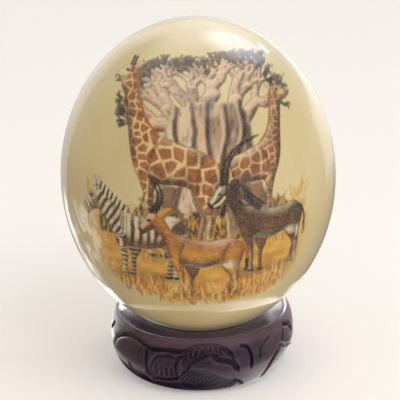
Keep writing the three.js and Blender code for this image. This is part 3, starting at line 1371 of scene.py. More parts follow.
@dataclass(frozen=True)
class PolishedHardwood:
    """Dark, close-grained hardwood, stained, carved and waxed to a shine.

    Attributes:
        dark: Colour of the dark grain.
        light: Colour of the light grain.
        red: Colour where the stain has thinned.
        grain_line_and_groove_shade: Colour of dark grain lines, and of the painted shade in the grooves.
        mauve: Colour of rubbed edges, and of the painted light on the rubbed shoulder.
        raw: Colour of the unpolished seat.
        carving: Name of the attribute with the carving's depth, the worn edges, the rubbed and painted-lit
            shoulder and the seat.
    """

    dark: Ink = ink(41, 28, 47)
    light: Ink = ink(60, 42, 58)
    red: Ink = ink(88, 54, 60)
    grain_line_and_groove_shade: Ink = ink(19, 14, 29)
    mauve: Ink = ink(92, 68, 80)
    raw: Ink = ink(58, 24, 72)
    carving: str = "carving"

    def make(self) -> bpy.types.Material:
        """Builds the material.

        Returns:
            The material.
        """
        material, sheet = new_material("polished_hardwood")
        place = sheet.node("ShaderNodeTexCoord").outputs["Object"]
        along = sheet.stretched(place, (0.18, 1.0, 1.0), (0.0, 0.15, 0.35))
        bands = sheet.noise(along, 130.0, 4.0, 1.2)
        lines = sheet.noise(sheet.stretched(place, (0.06, 1.0, 1.0), (0.0, 0.15, 0.35)), 900.0, 3.0, 0.3)
        patches = sheet.noise(place, 45.0, 3.0, 0.8)
        colour = sheet.mix(bands.rise(0.38, 0.68), self.dark, self.light)
        colour = sheet.mix(patches.rise(0.50, 0.72) * 0.5, colour, self.red)
        colour = sheet.mix(lines.rise(0.55, 0.75) * 0.5, colour, self.grain_line_and_groove_shade)

        _, seat, (depth, edge, rubbed_lit_shoulder) = sheet.channels(self.carving)
        # painted shade: the wood darkens towards this colour with the cut's depth, standing in for the
        # shadow in the grooves
        colour = sheet.mix(depth.rise(0.12, 0.5) * 0.94, colour, self.grain_line_and_groove_shade)
        wear = edge * (0.25 + patches * 0.8)
        colour = sheet.mix(wear * 0.5, colour, self.mauve)
        # painted light: the rubbed shoulder under the lip is lightened towards mauve, as where it catches
        # the overhead light
        colour = sheet.mix(rubbed_lit_shoulder * (0.5 + bands.rise(0.35, 0.7) * 0.35), colour, self.mauve)
        colour = sheet.mix(seat * 0.9, colour, self.raw)

        rough = sheet.noise(place, 240.0, 3.0)
        tool = sheet.noise(place, 420.0, 2.0, 0.5)
        raised = (lines * 0.25 + bands * 0.15 + tool * (0.25 + depth * 0.9)) * (1 - seat * 0.7)
        bump = sheet.node("ShaderNodeBump", {}, {"Strength": 0.55, "Distance": 0.00022, "Height": raised})
        inputs = {
            "Base Color": colour,
            "Roughness": (0.27 + rough * 0.18 + depth * 0.25 + rubbed_lit_shoulder * 0.10) * (1 - seat * 0.5),
            "Normal": bump.outputs[0],
            "Specular IOR Level": 0.5,
            "Coat Weight": (0.22 - rubbed_lit_shoulder * 0.14) * (1 - seat * 0.9),
            "Coat Roughness": 0.14,
        }
        sheet.surface("ShaderNodeBsdfPrincipled", inputs)
        return material


# ---------------------------------------------------------------------------
# The pieces
# ---------------------------------------------------------------------------


def deselect() -> None:
    """Leaves nothing selected."""
    bpy.ops.object.select_all(action="DESELECT")


def apply_modifier(piece: bpy.types.Object, kind: str, settings: dict) -> None:
    """Adds a modifier and applies it.

    Args:
        piece: The piece, which is the active object.
        kind: The modifier's type.
        settings: Its settings.
    """
    modifier = piece.modifiers.new(kind.title(), kind)
    for name, setting in settings.items():
        setattr(modifier, name, setting)
    bpy.ops.object.modifier_apply(modifier=modifier.name)


def points_of(piece: bpy.types.Object) -> np.ndarray:
    """Gives the places of a piece's points.

    Args:
        piece: The piece.

    Returns:
        One row of coordinates for each point.
    """
    places = np.empty(len(piece.data.vertices) * 3)
    piece.data.vertices.foreach_get("co", places)
    return places.reshape(-1, 3)


def store_colours(piece: bpy.types.Object, name: str, colours: np.ndarray) -> None:
    """Keeps a colour for each point of a piece.

    Args:
        piece: The piece.
        name: The attribute's name.
        colours: Red, green, blue and alpha of each point.
    """
    attribute = piece.data.color_attributes.new(name, "FLOAT_COLOR", "POINT")
    attribute.data.foreach_set("color", colours.astype(np.float32).ravel())


@dataclass
class PrintedEgg:
    """The egg and the picture on it.

    Attributes:
        half_width: Half the egg's width, in millimetres.
        half_length: Half its length.
        centre_height: Height of its middle above the foot.
        fineness: Divisions of the starting ball.
        picture_cuts: Extra cuts of each edge under the picture.
    """

    half_width: float = 64.5
    half_length: float = 75.0
    centre_height: float = 94.6
    fineness: int = 6
    picture_cuts: int = 4
    picture: SavannaPicture = field(default_factory=SavannaPicture)

    def unrolled(self, ball: np.ndarray) -> tuple[np.ndarray, np.ndarray]:
        """Lays points of the starting ball out flat, as the picture is drawn.

        Args:
            ball: Points on a ball of radius 1.

        Returns:
            Millimetres to the right of the middle line, and millimetres above the widest ring.
        """
        turns = np.linspace(-math.pi / 2, math.pi / 2, 2001)
        speed = np.hypot(self.half_width * np.sin(turns), self.half_length * np.cos(turns))
        lengths = np.concatenate([[0.0], np.cumsum((speed[1:] + speed[:-1]) / 2 * np.diff(turns))])
        lengths -= lengths[1000]
        up = np.arcsin(np.clip(ball[:, 2], -1.0, 1.0))
        around = np.arctan2(ball[:, 0], -ball[:, 1])
        return self.half_width * np.cos(up) * around, np.interp(up, turns, lengths)

    def build(self) -> bpy.types.Object:
        """Builds the egg.

        Returns:
            The finished piece, without its finish.
        """
        deselect()
        bpy.ops.mesh.primitive_ico_sphere_add(subdivisions=self.fineness, radius=1.0, location=(0, 0, 0))
        egg = bpy.context.object
        egg.name = "printed_egg"
        self.refine(egg)
        rounding = {"cast_type": "SPHERE", "factor": 1.0, "use_radius_as_size": False, "size": 1.0}
        apply_modifier(egg, "CAST", rounding)
        ball = points_of(egg)
        egg.scale = (self.half_width * MM, self.half_width * MM, self.half_length * MM)
        egg.location = (0.0, 0.0, self.centre_height * MM)
        bpy.ops.object.transform_apply(location=True, rotation=True, scale=True)
        bpy.ops.object.shade_smooth()
        facing = ball / np.array([self.half_width, self.half_width, self.half_length])
        egg.data.normals_split_custom_set_from_vertices(facing / np.linalg.norm(facing, axis=1)[:, None])
        u, v = self.unrolled(ball)
        colours, cover = self.picture.paint(u, v)
        store_colours(egg, LacqueredShell.picture, np.column_stack([colours, cover]))
        return egg

    def refine(self, egg: bpy.types.Object) -> None:
        """Divides the faces under the picture more finely.

        Args:
            egg: The starting ball.
        """
        bpy.context.tool_settings.mesh_select_mode = (False, False, True)
        bpy.ops.object.mode_set(mode="EDIT")
        bpy.ops.mesh.select_all(action="DESELECT")
        bpy.ops.object.mode_set(mode="OBJECT")
        centres = np.empty(len(egg.data.polygons) * 3)
        egg.data.polygons.foreach_get("center", centres)
        centres = centres.reshape(-1, 3)
        u, v = self.unrolled(centres / np.linalg.norm(centres, axis=1)[:, None])
        egg.data.polygons.foreach_set("select", self.picture.covers(u, v))
        bpy.ops.object.mode_set(mode="EDIT")
        bpy.ops.mesh.subdivide(number_cuts=self.picture_cuts)
        bpy.ops.object.mode_set(mode="OBJECT")

    def dress(self, egg: bpy.types.Object) -> None:
        """Gives the egg its finish and its place in the frame.

        Args:
            egg: The finished piece.
        """
        egg.data.materials.clear()
        egg.data.materials.append(LacqueredShell().make())
        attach(egg, "root")
        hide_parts("ostrich_egg")


@dataclass(frozen=True)
class Gouge:
    """One cut of a gouge along a curved path, or a ridge left standing along it.

    Attributes:
        path: Points as degrees round from the front and millimetres up the side.
        left: How far the cut reaches to the left of its run, in millimetres.
        right: How far it reaches to the right.
        depth: Its depth in millimetres.
        start: Share of its width at the start.
        end: Share of its width at the end.
    """

    path: list[Point]
    left: float
    right: float
    depth: float
    start: float = 0.35
    end: float = 0.35


@dataclass(frozen=True)
class SunkField:
    """A field cut below the turned surface.

    Attributes:
        outline: Points as degrees round from the front and millimetres up the side.
        depth: Its depth in millimetres.
        edge: Width of its sloping edge.
    """

    outline: list[Point]
    depth: float
    edge: float = 1.6


@dataclass
class CarvedRing:
    """The turned ring that the egg stands in, with its carving.

    Attributes:
        foot_radius: Outer radius of the foot, in millimetres.
        widest_radius: Radius at the ring's widest.
        widest_height: Height of the ring's widest above the foot.
        lip_radius: Radius of the upper lip.
        height: Height of the lip.
        lip_round: Radius of the lip's rounded edge.
        seat_radius: Radius where the egg rests.
        seat_height: Height where the egg rests.
        dish: How far the seat sags between its edges.
        bore_radius: Radius of the hole through the ring.
        bore_height: Height of the bore's upper edge.
        turns: Divisions round the ring.
        step: Distance between points up the carved side.
        deepest: Depth that a full weight stands for.
        repeat: Degrees after which the carving comes again.
    """

    foot_radius: float = 34.0
    widest_radius: float = 44.3
    widest_height: float = 16.7
    lip_radius: float = 40.7
    height: float = 28.5
    lip_round: float = 1.0
    seat_radius: float = 27.3
    seat_height: float = 26.35
    dish: float = 0.35
    bore_radius: float = 26.0
    bore_height: float = 25.6
    turns: int = 840
    step: float = 0.4
    deepest: float = 2.4
    repeat: float = 180.0

    FIELD_MARGIN = 3.0
    GOUGE_MARGIN = 5.0
    WAVY_BORDER = [
        (-80, 13), (-75.5, 18.2), (-71, 22.4), (-67.5, 25.3), (-61.5, 28.2), (-53.2, 30.2), (-47, 30.4),
        (-41.2, 29.4), (-37, 28), (-32.2, 27.6), (-26, 28.2), (-20.2, 28.4), (-14, 28.5), (-9.2, 29.5),
        (-4.8, 31), (0, 31.7), (5.2, 31.5), (10.5, 30.3), (14.3, 28.6), (17.2, 26.3), (18.6, 23.6),
    ]
    LEFT_UPRIGHT = [
        (-37, 28.4), (-37, 26.3), (-37.5, 21.1), (-37.8, 17.1), (-35.5, 13.2), (-34, 10.1), (-32.2, 7.9),
    ]
    PAW_SOLE = [(-37.6, 15), (-35.5, 12.8), (-30.2, 11.9), (-21.2, 12.8), (-15.4, 14.4)]
    CREST_LOOP = [(-16.8, 21.7), (-15.8, 24), (-13.4, 25.6), (-10.8, 25.2), (-9.2, 22.8)]
    CHEEK = [(23.8, 29.2), (26.4, 29), (28.8, 27.2), (30.2, 24), (30.8, 20.6), (30.2, 16.8)]
    FLANK = [(57.5, 22.4), (54.3, 21.1), (49.5, 17.7), (46, 14.4), (43.9, 11), (42, 7.6)]
    GOUGES = [
        Gouge(WAVY_BORDER, 1.1, 1.6, 1.9, 0.5, 0.6),
        Gouge([(-12.5, 19.4), (-6.2, 22.9), (-0.2, 25.4), (5, 26.6), (8.8, 24.9)], 1.0, 0.9, 1.5, 0.3, 0.8),
        Gouge([(6.5, 26.2), (10, 24), (14.5, 22.9), (19, 21), (22.6, 16.2)], 1.5, 1.9, 2.0, 0.7, 0.08),
        Gouge([(13.6, 22.8), (17.6, 22.2), (20, 20.4)], 1.5, 1.3, 2.0, 0.5, 0.5),
        Gouge([(-33, 20.7), (-30.2, 23.6), (-25, 25), (-20.2, 25.2), (-17.2, 24)], 1.3, 1.2, 0.9, 0.6, 0.8),
        Gouge([(-17, 24.4), (-17.2, 17.7), (-16, 14.9)], 0.9, 0.9, 1.5, 0.9, 0.9),
        Gouge(PAW_SOLE, 1.1, 1.3, 1.9, 0.9, 0.6),
        Gouge([(-33, 20.9), (-34.4, 17.5), (-32.4, 14.2)], 1.1, 1.1, 0.7, 0.8, 0.8),
        Gouge([(-31, 19.8), (-30.8, 15.6)], 1.4, 1.4, 1.5, 0.4, 0.9),
        Gouge([(-27, 19.6), (-27.2, 14.8)], 1.3, 1.3, 1.5, 0.3, 0.9),
        Gouge([(-23.4, 19.6), (-23.6, 14.9)], 1.3, 1.3, 1.5, 0.3, 0.9),
        Gouge([(-20.2, 19.8), (-20.4, 15.6)], 1.1, 1.1, 1.4, 0.3, 0.9),
        Gouge(LEFT_UPRIGHT, 1.2, 1.0, 1.8, 0.9, 0.4),
        Gouge([(-36.4, 13.6), (-33.6, 8.4), (-31.8, 5.4)], 1.2, 1.2, 1.8, 0.8, 0.5),
        Gouge(CREST_LOOP, 1.1, 1.1, 1.6, 0.8, 0.8),
        Gouge([(-9, 23), (-9.4, 19.6), (-14, 16.6)], 1.0, 1.0, 1.5, 0.8, 0.6),
        Gouge([(19.6, 12), (24, 9.6), (27, 6.6)], 1.1, 1.5, 1.9, 0.6, 0.7),
        Gouge(CHEEK, 1.1, 1.1, 1.8, 0.75, 0.4),
        Gouge([(46.5, 29.4), (43, 28.2), (39.2, 26), (37.8, 24)], 1.1, 1.1, 1.1, 0.2, 0.7),
        Gouge([(37.4, 25.8), (37.2, 23.5), (36.6, 20.6)], 1.0, 1.0, 1.2, 0.6, 0.4),
        Gouge([(63.8, 32.6), (61.8, 29.3), (59.4, 25.7), (58, 21.5)], 1.0, 1.0, 1.7),
        Gouge([(63, 29.4), (66.5, 30.2), (71, 28.6), (75.5, 24)], 1.3, 1.7, 2.2, 0.4, 0.5),
        Gouge([(56.2, 23.2), (66, 19), (80.2, 14)], 1.0, 1.9, 1.8),
        Gouge(FLANK, 1.4, 1.6, 2.1, 0.6, 0.5),
        Gouge([(-53.6, 16.2), (-52.6, 13), (-50, 9.7)], 1.1, 1.1, 1.8, 0.4, 0.4),
        Gouge([(-84, 25), (-79, 27.4), (-75, 30.4)], 1.2, 1.2, 1.8, 0.5, 0.5),
    ]
    CREST = [
        (-13, 28), (-9, 29), (-4.8, 30.6), (0, 31.3), (5.2, 31.1), (10.5, 30), (14.3, 28.2),
        (17.2, 25.6), (16, 24.2), (10.8, 26), (5, 27), (-0.2, 25.8), (-6.2, 23.2), (-12.5, 20.2),
    ]
    PAW = [(-32, 20.5), (-29, 23.2), (-24, 24.6), (-18.5, 24.4), (-18.5, 15.6), (-30, 13.6)]
    HATCHED_PANEL = [
        (-14.6, 8.8), (-12.6, 18.4), (0.2, 19.7), (7, 16.4), (15, 14), (21, 10.8), (8, 5), (-6, 5.2),
    ]
    BELLY = [(60, 20.5), (53, 16.5), (47.5, 11), (45, 5), (52, 2.5), (84, 2.5), (86, 11), (76, 15)]
    FIELDS = [
        SunkField(CREST, 1.5),
        SunkField(PAW, 0.5, 1.2),
        SunkField(HATCHED_PANEL, 0.7),
        SunkField(BELLY, 1.2, 2.0),
    ]
    RIDGES = [
        ((-9.6, 25.2), (-8.8, 28.4)), ((-6.8, 26), (-5.6, 29.2)), ((-3.4, 26.6), (-2.2, 30)),
        ((1.4, 27.6), (1.6, 30.4)), ((5.8, 27.6), (5.4, 30.4)), ((9.4, 26.8), (8.8, 29.8)),
        ((13, 25.6), (11.6, 28.4)),
    ]
    HATCH = [
        ((-16.5 + 2.1 * i, max(5.4, 13.4 - 0.95 * i)), (-9 + 1.95 * i, 19.6 - 0.55 * i))
        for i in range(17)
    ]

    def section(self) -> np.ndarray:
        """Draws the ring's section, from the foot up the side, over the lip and down the bore.

        Returns:
            Radius and height of each point, in millimetres, and its distance up the side (-1 off the side).
        """
        turn = np.linspace(0, math.pi / 2, 400)
        low_r = self.foot_radius + (self.widest_radius - self.foot_radius) * np.sin(turn)
        low_z = self.widest_height * (1 - np.cos(turn))
        high_r = self.lip_radius + (self.widest_radius - self.lip_radius) * np.cos(turn)
        high_z = self.widest_height + (self.height - self.widest_height) * np.sin(turn)
        side = np.column_stack([np.concatenate([low_r, high_r[1:]]), np.concatenate([low_z, high_z[1:]])])
        run = np.concatenate([[0.0], np.cumsum(np.hypot(*np.diff(side, axis=0).T))])
        places = np.linspace(0.0, run[-1], round(run[-1] / self.step) + 1)
        radii = np.interp(places, run, side[:, 0])
        heights = np.interp(places, run, side[:, 1])
        climbed = self.rounded_ends(np.column_stack([radii, heights, places]))
        inward = []
        for share in np.linspace(0.08, 1.0, 12):
            radius = self.lip_radius + (self.seat_radius - self.lip_radius) * share
            dish = self.dish * math.sin(math.pi * share)
            inward.append((radius, self.height + (self.seat_height - self.height) * share - dish, -1.0))
        bore = [(self.bore_radius + 0.5, self.bore_height + 0.25, -1.0)]
        bore += [(self.bore_radius, h, -1.0) for h in (self.bore_height - 0.4, 17.0, 8.0, 0.8)]
        under = [(self.bore_radius + 0.8, 0.0, -1.0), (29.0, 0.0, -1.0), (32.0, 0.0, -1.0)]
        return np.vstack([climbed, inward, bore, under])

    def rounded_ends(self, side: np.ndarray) -> np.ndarray:
        """Softens the sharp edges at the foot and at the lip.

        Args:
            side: Radius, height and distance up the side of each point.

        Returns:
            The same rows, softened.
        """
        lip_gap = np.clip(1 - (side[-1, 2] - side[:, 2]) / self.lip_round, 0.0, 1.0)
        foot_gap = np.clip(1 - side[:, 2] / self.lip_round, 0.0, 1.0)
        side[:, 0] -= 0.35 * lip_gap**2 + 0.3 * foot_gap**2
        return side

    def carving(self, angle: np.ndarray, up: np.ndarray) -> tuple[np.ndarray, np.ndarray]:
        """Works out how deep the carving goes.

        Args:
            angle: Degrees round the ring from the front.
            up: Millimetres up the side.

        Returns:
            Depth in millimetres, and how strongly each point is a worn edge.
        """
        around = math.radians(1.0) * self.widest_radius
        folded = np.mod(angle + 90.0, self.repeat) - 90.0
        depth = np.zeros(len(angle))
        worn = np.zeros(len(angle))
        cuts = list(self.GOUGES)
        cuts += [Gouge([low, high], 0.52, 0.52, 1.15, 0.5, 0.8) for low, high in self.HATCH]
        for shift in (-self.repeat, 0.0, self.repeat):
            x = (folded + shift) * around
            for sunk in self.FIELDS:
                outline = flowing([(a * around, b) for a, b in sunk.outline], True)
                near = beside(x, up, outline, self.FIELD_MARGIN)
                away = reach(x[near], up[near], outline, True).away
                inward = np.where(encloses(x[near], up[near], outline), away, -away)
                sloping = ease(inward, -sunk.edge / 2, sunk.edge / 2)
                depth[near] = np.maximum(depth[near], sunk.depth * sloping)
            for cut in cuts:
                near, taper, spread = self.follow(cut, x, up)
                depth[near] = np.maximum(depth[near], cut.depth * taper * (1 - ease(spread, 0.3, 1.05)))
                rubbed_edge = np.exp(-(((spread - 1.25) / 0.25) ** 2)) * min(1.0, cut.left)
                worn[near] = np.maximum(worn[near], rubbed_edge)
            for low, high in self.RIDGES:
                near, _, spread = self.follow(Gouge([low, high], 0.6, 0.6, 1.0, 0.6, 0.8), x, up)
                left_standing = 1 - ease(spread, 0.35, 1.2)
                depth[near] -= left_standing * np.minimum(depth[near], 1.2)
                worn[near] = np.maximum(worn[near], left_standing)
        fade = ease(up, 0.5, 3.0) * ease(-up, -34.0, -32.6)
        return depth * fade, worn * fade

    def follow(self, cut: Gouge, x: np.ndarray, up: np.ndarray) -> tuple[np.ndarray, np.ndarray, np.ndarray]:
        """Measures points against one cut.

        Args:
            cut: The cut.
            x: Millimetres round the ring.
            up: Millimetres up the side.

        Returns:
            Numbers of the points near it, how full the cut is at each, and how far from its middle line
            each lies, with 1 at the cut's edge.
        """
        around = math.radians(1.0) * self.widest_radius
        path = flowing([(a * around, b) for a, b in cut.path])
        near = beside(x, up, path, self.GOUGE_MARGIN)
        measured = reach(x[near], up[near], path, False)
        taper = np.minimum(ease(measured.share, -0.02, 0.16) + cut.start, 1.0)
        taper *= np.minimum(ease(1 - measured.share, -0.02, 0.16) + cut.end, 1.0)
        half = np.where(measured.side < 0, cut.left, cut.right) * taper
        return near, taper, measured.away / half

    def build(self) -> bpy.types.Object:
        """Turns and carves the ring.

        Returns:
            The finished piece, without its finish.
        """
        section = self.section()
        deselect()
        radius = self.lip_radius * MM
        bpy.ops.mesh.primitive_circle_add(vertices=len(section), radius=radius, location=(0, 0, 0))
        ring = bpy.context.object
        ring.name = "carved_ring"
        places = np.column_stack([section[:, 0], np.zeros(len(section)), section[:, 1]]) * MM
        ring.data.vertices.foreach_set("co", places.ravel())
        bpy.ops.object.mode_set(mode="EDIT")
        bpy.ops.mesh.select_all(action="SELECT")
        bpy.ops.mesh.spin(steps=self.turns, angle=2 * math.pi, center=(0, 0, 0), axis=(0, 0, 1))
        bpy.ops.mesh.select_all(action="SELECT")
        bpy.ops.mesh.remove_doubles(threshold=0.00002)
        bpy.ops.mesh.normals_make_consistent(inside=False)
        bpy.ops.object.mode_set(mode="OBJECT")
        self.carve(ring, section)
        bpy.ops.object.shade_smooth_by_angle(angle=math.radians(50))
        return ring

    def carve(self, ring: bpy.types.Object, section: np.ndarray) -> None:
        """Presses the carving into the turned ring.

        Args:
            ring: The turned ring.
            section: Its section's points.
        """
        places = points_of(ring) / MM
        radius = np.hypot(places[:, 0], places[:, 1])
        gaps = np.abs(radius[:, None] - section[None, :, 0]) + np.abs(places[:, 2:3] - section[None, :, 1])
        up = section[np.argmin(gaps, axis=1), 2]
        angle = np.degrees(np.arctan2(places[:, 0], -places[:, 1]))
        on_side = np.flatnonzero(up >= 0)
        depth = np.zeros(len(places))
        worn = np.zeros(len(places))
        depth[on_side], worn[on_side] = self.carving(angle[on_side], up[on_side])
        group = ring.vertex_groups.new(name="cut_depth")
        for i in np.flatnonzero(depth > 0.001):
            group.add([int(i)], float(depth[i] / self.deepest), "REPLACE")
        settings = {"vertex_group": "cut_depth", "strength": -self.deepest * MM, "mid_level": 0.0}
        apply_modifier(ring, "DISPLACE", settings)
        ring.vertex_groups.clear()
        # the rubbed shoulder under the lip, whose colour is also lightened there as painted light
        rubbed_lit_shoulder = ease(up, 27.0, 31.5) * (1 - ease(up, 33.6, 34.4))
        seat = ease(self.lip_radius - 0.6 - radius, 0.0, 1.2) * ease(places[:, 2], 20.0, 24.0)
        shares = np.column_stack([np.clip(depth / 2.0, 0, 1), worn, rubbed_lit_shoulder, seat])
        store_colours(ring, PolishedHardwood.carving, shares)

    def dress(self, ring: bpy.types.Object) -> None:
        """Gives the ring its finish and its place in the frame.

        Args:
            ring: The finished piece.
        """
        ring.data.materials.clear()
        ring.data.materials.append(PolishedHardwood().make())
        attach(ring, "root")
        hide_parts("carved_ring_stand")


# ---------------------------------------------------------------------------
# The studio
# ---------------------------------------------------------------------------


@dataclass(frozen=True)
class Glow:
    """A bright place in the room, as gloss sees it.

    Attributes:
        toward: Azimuth from the front towards the right and elevation of its middle, in degrees.
        core: Degrees from its middle to where it starts to fade.
        rim: Degrees from its middle to where it is gone.
        light: How bright it is.
        squeeze: How much narrower it is across its long side.
        lean: Degrees that its long side leans from upright.
    """

    toward: Point
    core: float
    rim: float
    light: float
    squeeze: float = 1.0
    lean: float = 0.0


@dataclass(frozen=True)
class RingWindow:
    """A window that only the ring mirrors.

    Attributes:
        name: Its name.
        aim: Its azimuth and elevation in degrees.
        size: Its width and height in metres.
        power: Its power in watts.
        shaded: Whether the egg shades it.
    """

    name: str
    aim: Point
    size: Point
    power: float
    shaded: bool = False


@dataclass
class Studio:
    """Floor, lights and camera.

    GLOWS are the bright places that gloss sees in the room, and WINDOWS are the lights that only the ring
    mirrors. ROOM_TONE and SKY_TONE colour the room and its glows.

    Attributes:
        middle: Height in metres of the point that lights and camera turn about.
        camera_elevation: Degrees that the camera looks down.
        camera_distance: Its distance in metres.
        lens: Its lens in millimetres.
        roll: Degrees that it is rolled.
        aim_drop: Metres that it aims below the middle.
        aim_right: Metres that it aims to the right of the middle.
        window_distance: Metres from the middle to each of the ring's windows.
        mirror_radius: Radius in metres of the disc of floor that only gloss sees.
        mirror_height: Its height above the floor.
        lit_radius: Radius of the floor that shows lit close round the ring.
        under_radius: Radius of the floor that the ring's lower half mirrors.
        hidden_radius: Radius of the floor that the ring hides.
    """

    middle: float = 0.090
    camera_elevation: float = 18.8
    camera_distance: float = 0.7
    lens: float = 133.5
    roll: float = -1.5
    aim_drop: float = 0.0073
    aim_right: float = 0.00049
    window_distance: float = 1.0
    mirror_radius: float = 0.11
    mirror_height: float = 0.0002
    lit_radius: float = 0.0575
    under_radius: float = 0.0463
    hidden_radius: float = 0.035

    ROOM_TONE = (1.0, 0.985, 0.96)
    SKY_TONE = (0.84, 0.97, 1.40)
    GLOWS = [
        Glow((158.0, 50.0), 10.0, 36.0, 0.55),
        Glow((147.0, 48.5), 6.0, 21.0, 3.0),
        Glow((148.5, 25.3), 3.0, 3.8, 18.0, 1.9, 75.0),
    ]
    WINDOWS = [
        RingWindow("left_window", (-142.0, -2.0), (0.54, 0.65), 3.5),
        RingWindow("left_lip_window", (175.0, 22.0), (0.10, 0.14), 0.16),
        RingWindow("right_lip_window", (-175.0, 22.0), (0.10, 0.18), 0.4),
        RingWindow("right_shoulder_window", (170.0, 22.0), (0.18, 0.24), 4.5, True),
        RingWindow("left_sky_window", (-125.0, 50.0), (0.20, 0.20), 2.5, True),
        RingWindow("right_sky_window", (125.0, 50.0), (0.20, 0.20), 2.5, True),
    ]

    def direction(self, azimuth: float, elevation: float) -> Vector:
        """Gives the unit vector towards a place round the object."""
        turn, rise = math.radians(azimuth), math.radians(elevation)
        return Vector((math.sin(turn) * math.cos(rise), -math.cos(turn) * math.cos(rise), math.sin(rise)))

    def facing(self, place: Vector, target: Vector, turn: float) -> Matrix:
        """Turns something at a place to face a target with its -Z side.

        Args:
            place: Where it is.
            target: What it faces.
            turn: Degrees of turn about that line.

        Returns:
            Its matrix.
        """
        ahead = (target - place).normalized()
        right = ahead.cross(Vector((0, 0, 1))).normalized()
        up = right.cross(ahead)
        cosine, sine = math.cos(math.radians(turn)), math.sin(math.radians(turn))
        turned_right = right * cosine + up * sine
        turned_up = up * cosine - right * sine
        matrix = Matrix((turned_right, turned_up, -ahead)).transposed().to_4x4()
        matrix.translation = place
        return matrix

    def build(self) -> None:
        """Builds the floor, the lights and the camera."""
        self.floor()
        self.world()
        self.soft_box("key_light", (41.0, 49.0), 1.2, (0.80, 0.80), 4.15)
        self.near_floor()
        self.camera()
        bpy.context.scene.view_settings.view_transform = "Standard"

    def floor(self) -> None:
        """Lays the pale floor."""
        deselect()
        bpy.ops.mesh.primitive_plane_add(size=14.0, location=(0, 0, 0))
        floor = bpy.context.object
        floor.name = "floor"
        material, sheet = new_material("floor_paper")
        place = sheet.node("ShaderNodeTexCoord").outputs["Object"]
        tone = sheet.mix(sheet.noise(place, 3.0), (0.86, 0.86, 0.86), (0.90, 0.90, 0.89))
        sheet.surface("ShaderNodeBsdfPrincipled", {
            "Base Color": tone,
            "Roughness": 0.9,
            "Emission Color": (1.0, 1.0, 1.0),
            "Emission Strength": 0.24,
        })
        floor.data.materials.append(material)
        floor.visible_diffuse = False
        floor.visible_glossy = False

    def world(self) -> None:
        """Fills the room with soft light, and shows gloss its windows and pale back wall."""
        world = bpy.data.worlds.new("room")
        bpy.context.scene.world = world
        world.use_nodes = True
        sheet = NodeSheet(world.node_tree)
        place = sheet.node("ShaderNodeTexCoord").outputs["Generated"]
        x, y, z = sheet.axes(place)
        fill = sheet.mix(z.rise(-0.5, 0.5), (0.58, 0.48, 0.38), (0.67, 0.63, 0.55))
        room = self.reflected_room(sheet, place, x, y, z)
        seen_by_gloss = sheet.node("ShaderNodeLightPath").outputs["Is Glossy Ray"]
        tone = sheet.mix(seen_by_gloss, fill, room)
        sheet.surface("ShaderNodeBackground", {"Color": tone, "Strength": 1.0}, "ShaderNodeOutputWorld")

    def reflected_room(
        self, sheet: NodeSheet, place: bpy.types.NodeSocket, x: Value, y: Value, z: Value
    ) -> bpy.types.NodeSocket:
        """Paints the room that gloss reflects.

        Args:
            sheet: The world's sheet.
            place: Direction in the room.
            x: How far it points to the right.
            y: How far it points to the back.
            z: How far it points up.

        Returns:
            The room's colour.
        """
        back = y.rise(0.05, 0.75) * z.rise(-0.30, 0.05) * (0.37 + x.rise(-0.6, 0.1) * 0.37)
        right = x.rise(0.0, 0.9) * z.rise(-0.6, 0.1) * (1.0 - z.rise(0.0, 0.3) * 0.6)
        light = 0.22 + back * (1.0 - x.rise(0.3, 0.7) * 0.2) + right * 0.32 + z.rise(0.62, 0.95) * 1.5
        overhead = y.rise(0.3, 0.8) * z.rise(0.15, 0.45) * x.rise(-0.5, -0.1)
        light = light + overhead * (1.0 - x.rise(0.25, 0.5)) * 0.6
        ragged = sheet.noise(place, 9.0, 3.0, 0.6) * 0.22
        wall = (y + ragged * 0.12).rise(0.615, 0.65) * (0.12 - z).rise(0.0, 0.06)
        light = light + wall * (z + ragged).rise(-0.24, -0.12) * x.rise(0.0, 0.25) * 0.65
        left = (y + ragged * 0.1).rise(0.735, 0.76) * (z + ragged).rise(-0.30, -0.18)
        light = light + left * (0.0 - x).rise(0.1, 0.3) * 0.45
        cloud = sheet.noise(place, 5.0, 4.0, 1.0).rise(0.44, 0.62)
        below = (z + 0.68).rise(0.0, 0.15) * (-0.30 - z).rise(0.0, 0.06) * (-0.15 - x).rise(0.0, 0.2)
        light = light + cloud * below * y.rise(-0.1, 0.2) * 1.8
        shade = sheet.mix(1.0, light.grey(), self.ROOM_TONE, "MULTIPLY")
        for glow in self.GLOWS:
            bright = sheet.mix(1.0, self.glow(sheet, place, glow).grey(), self.SKY_TONE, "MULTIPLY")
            shade = sheet.mix(1.0, shade, bright, "ADD")
        return shade

    def glow(self, sheet: NodeSheet, place: bpy.types.NodeSocket, glow: Glow) -> Value:
        """Measures how brightly one glow shows in each direction.

        Args:
            sheet: The world's sheet.
            place: Direction in the room.
            glow: The glow.

        Returns:
            Its light.
        """
        middle = self.direction(*glow.toward)
        across = middle.cross(Vector((0, 0, 1))).normalized()
        upward = across.cross(middle)
        lean = math.radians(glow.lean)
        long_way = upward * math.cos(lean) + across * math.sin(lean)
        short_way = across * math.cos(lean) - upward * math.sin(lean)
        lengthways = sheet.dot(place, long_way)
        crossways = sheet.dot(place, short_way * glow.squeeze)
        spread = lengthways * lengthways + crossways * crossways
        near, far = math.sin(math.radians(glow.core)) ** 2, math.sin(math.radians(glow.rim)) ** 2
        in_front = sheet.dot(place, middle).rise(0.0, 0.1)
        return (far - spread).rise(0.0, far - near) * in_front * glow.light

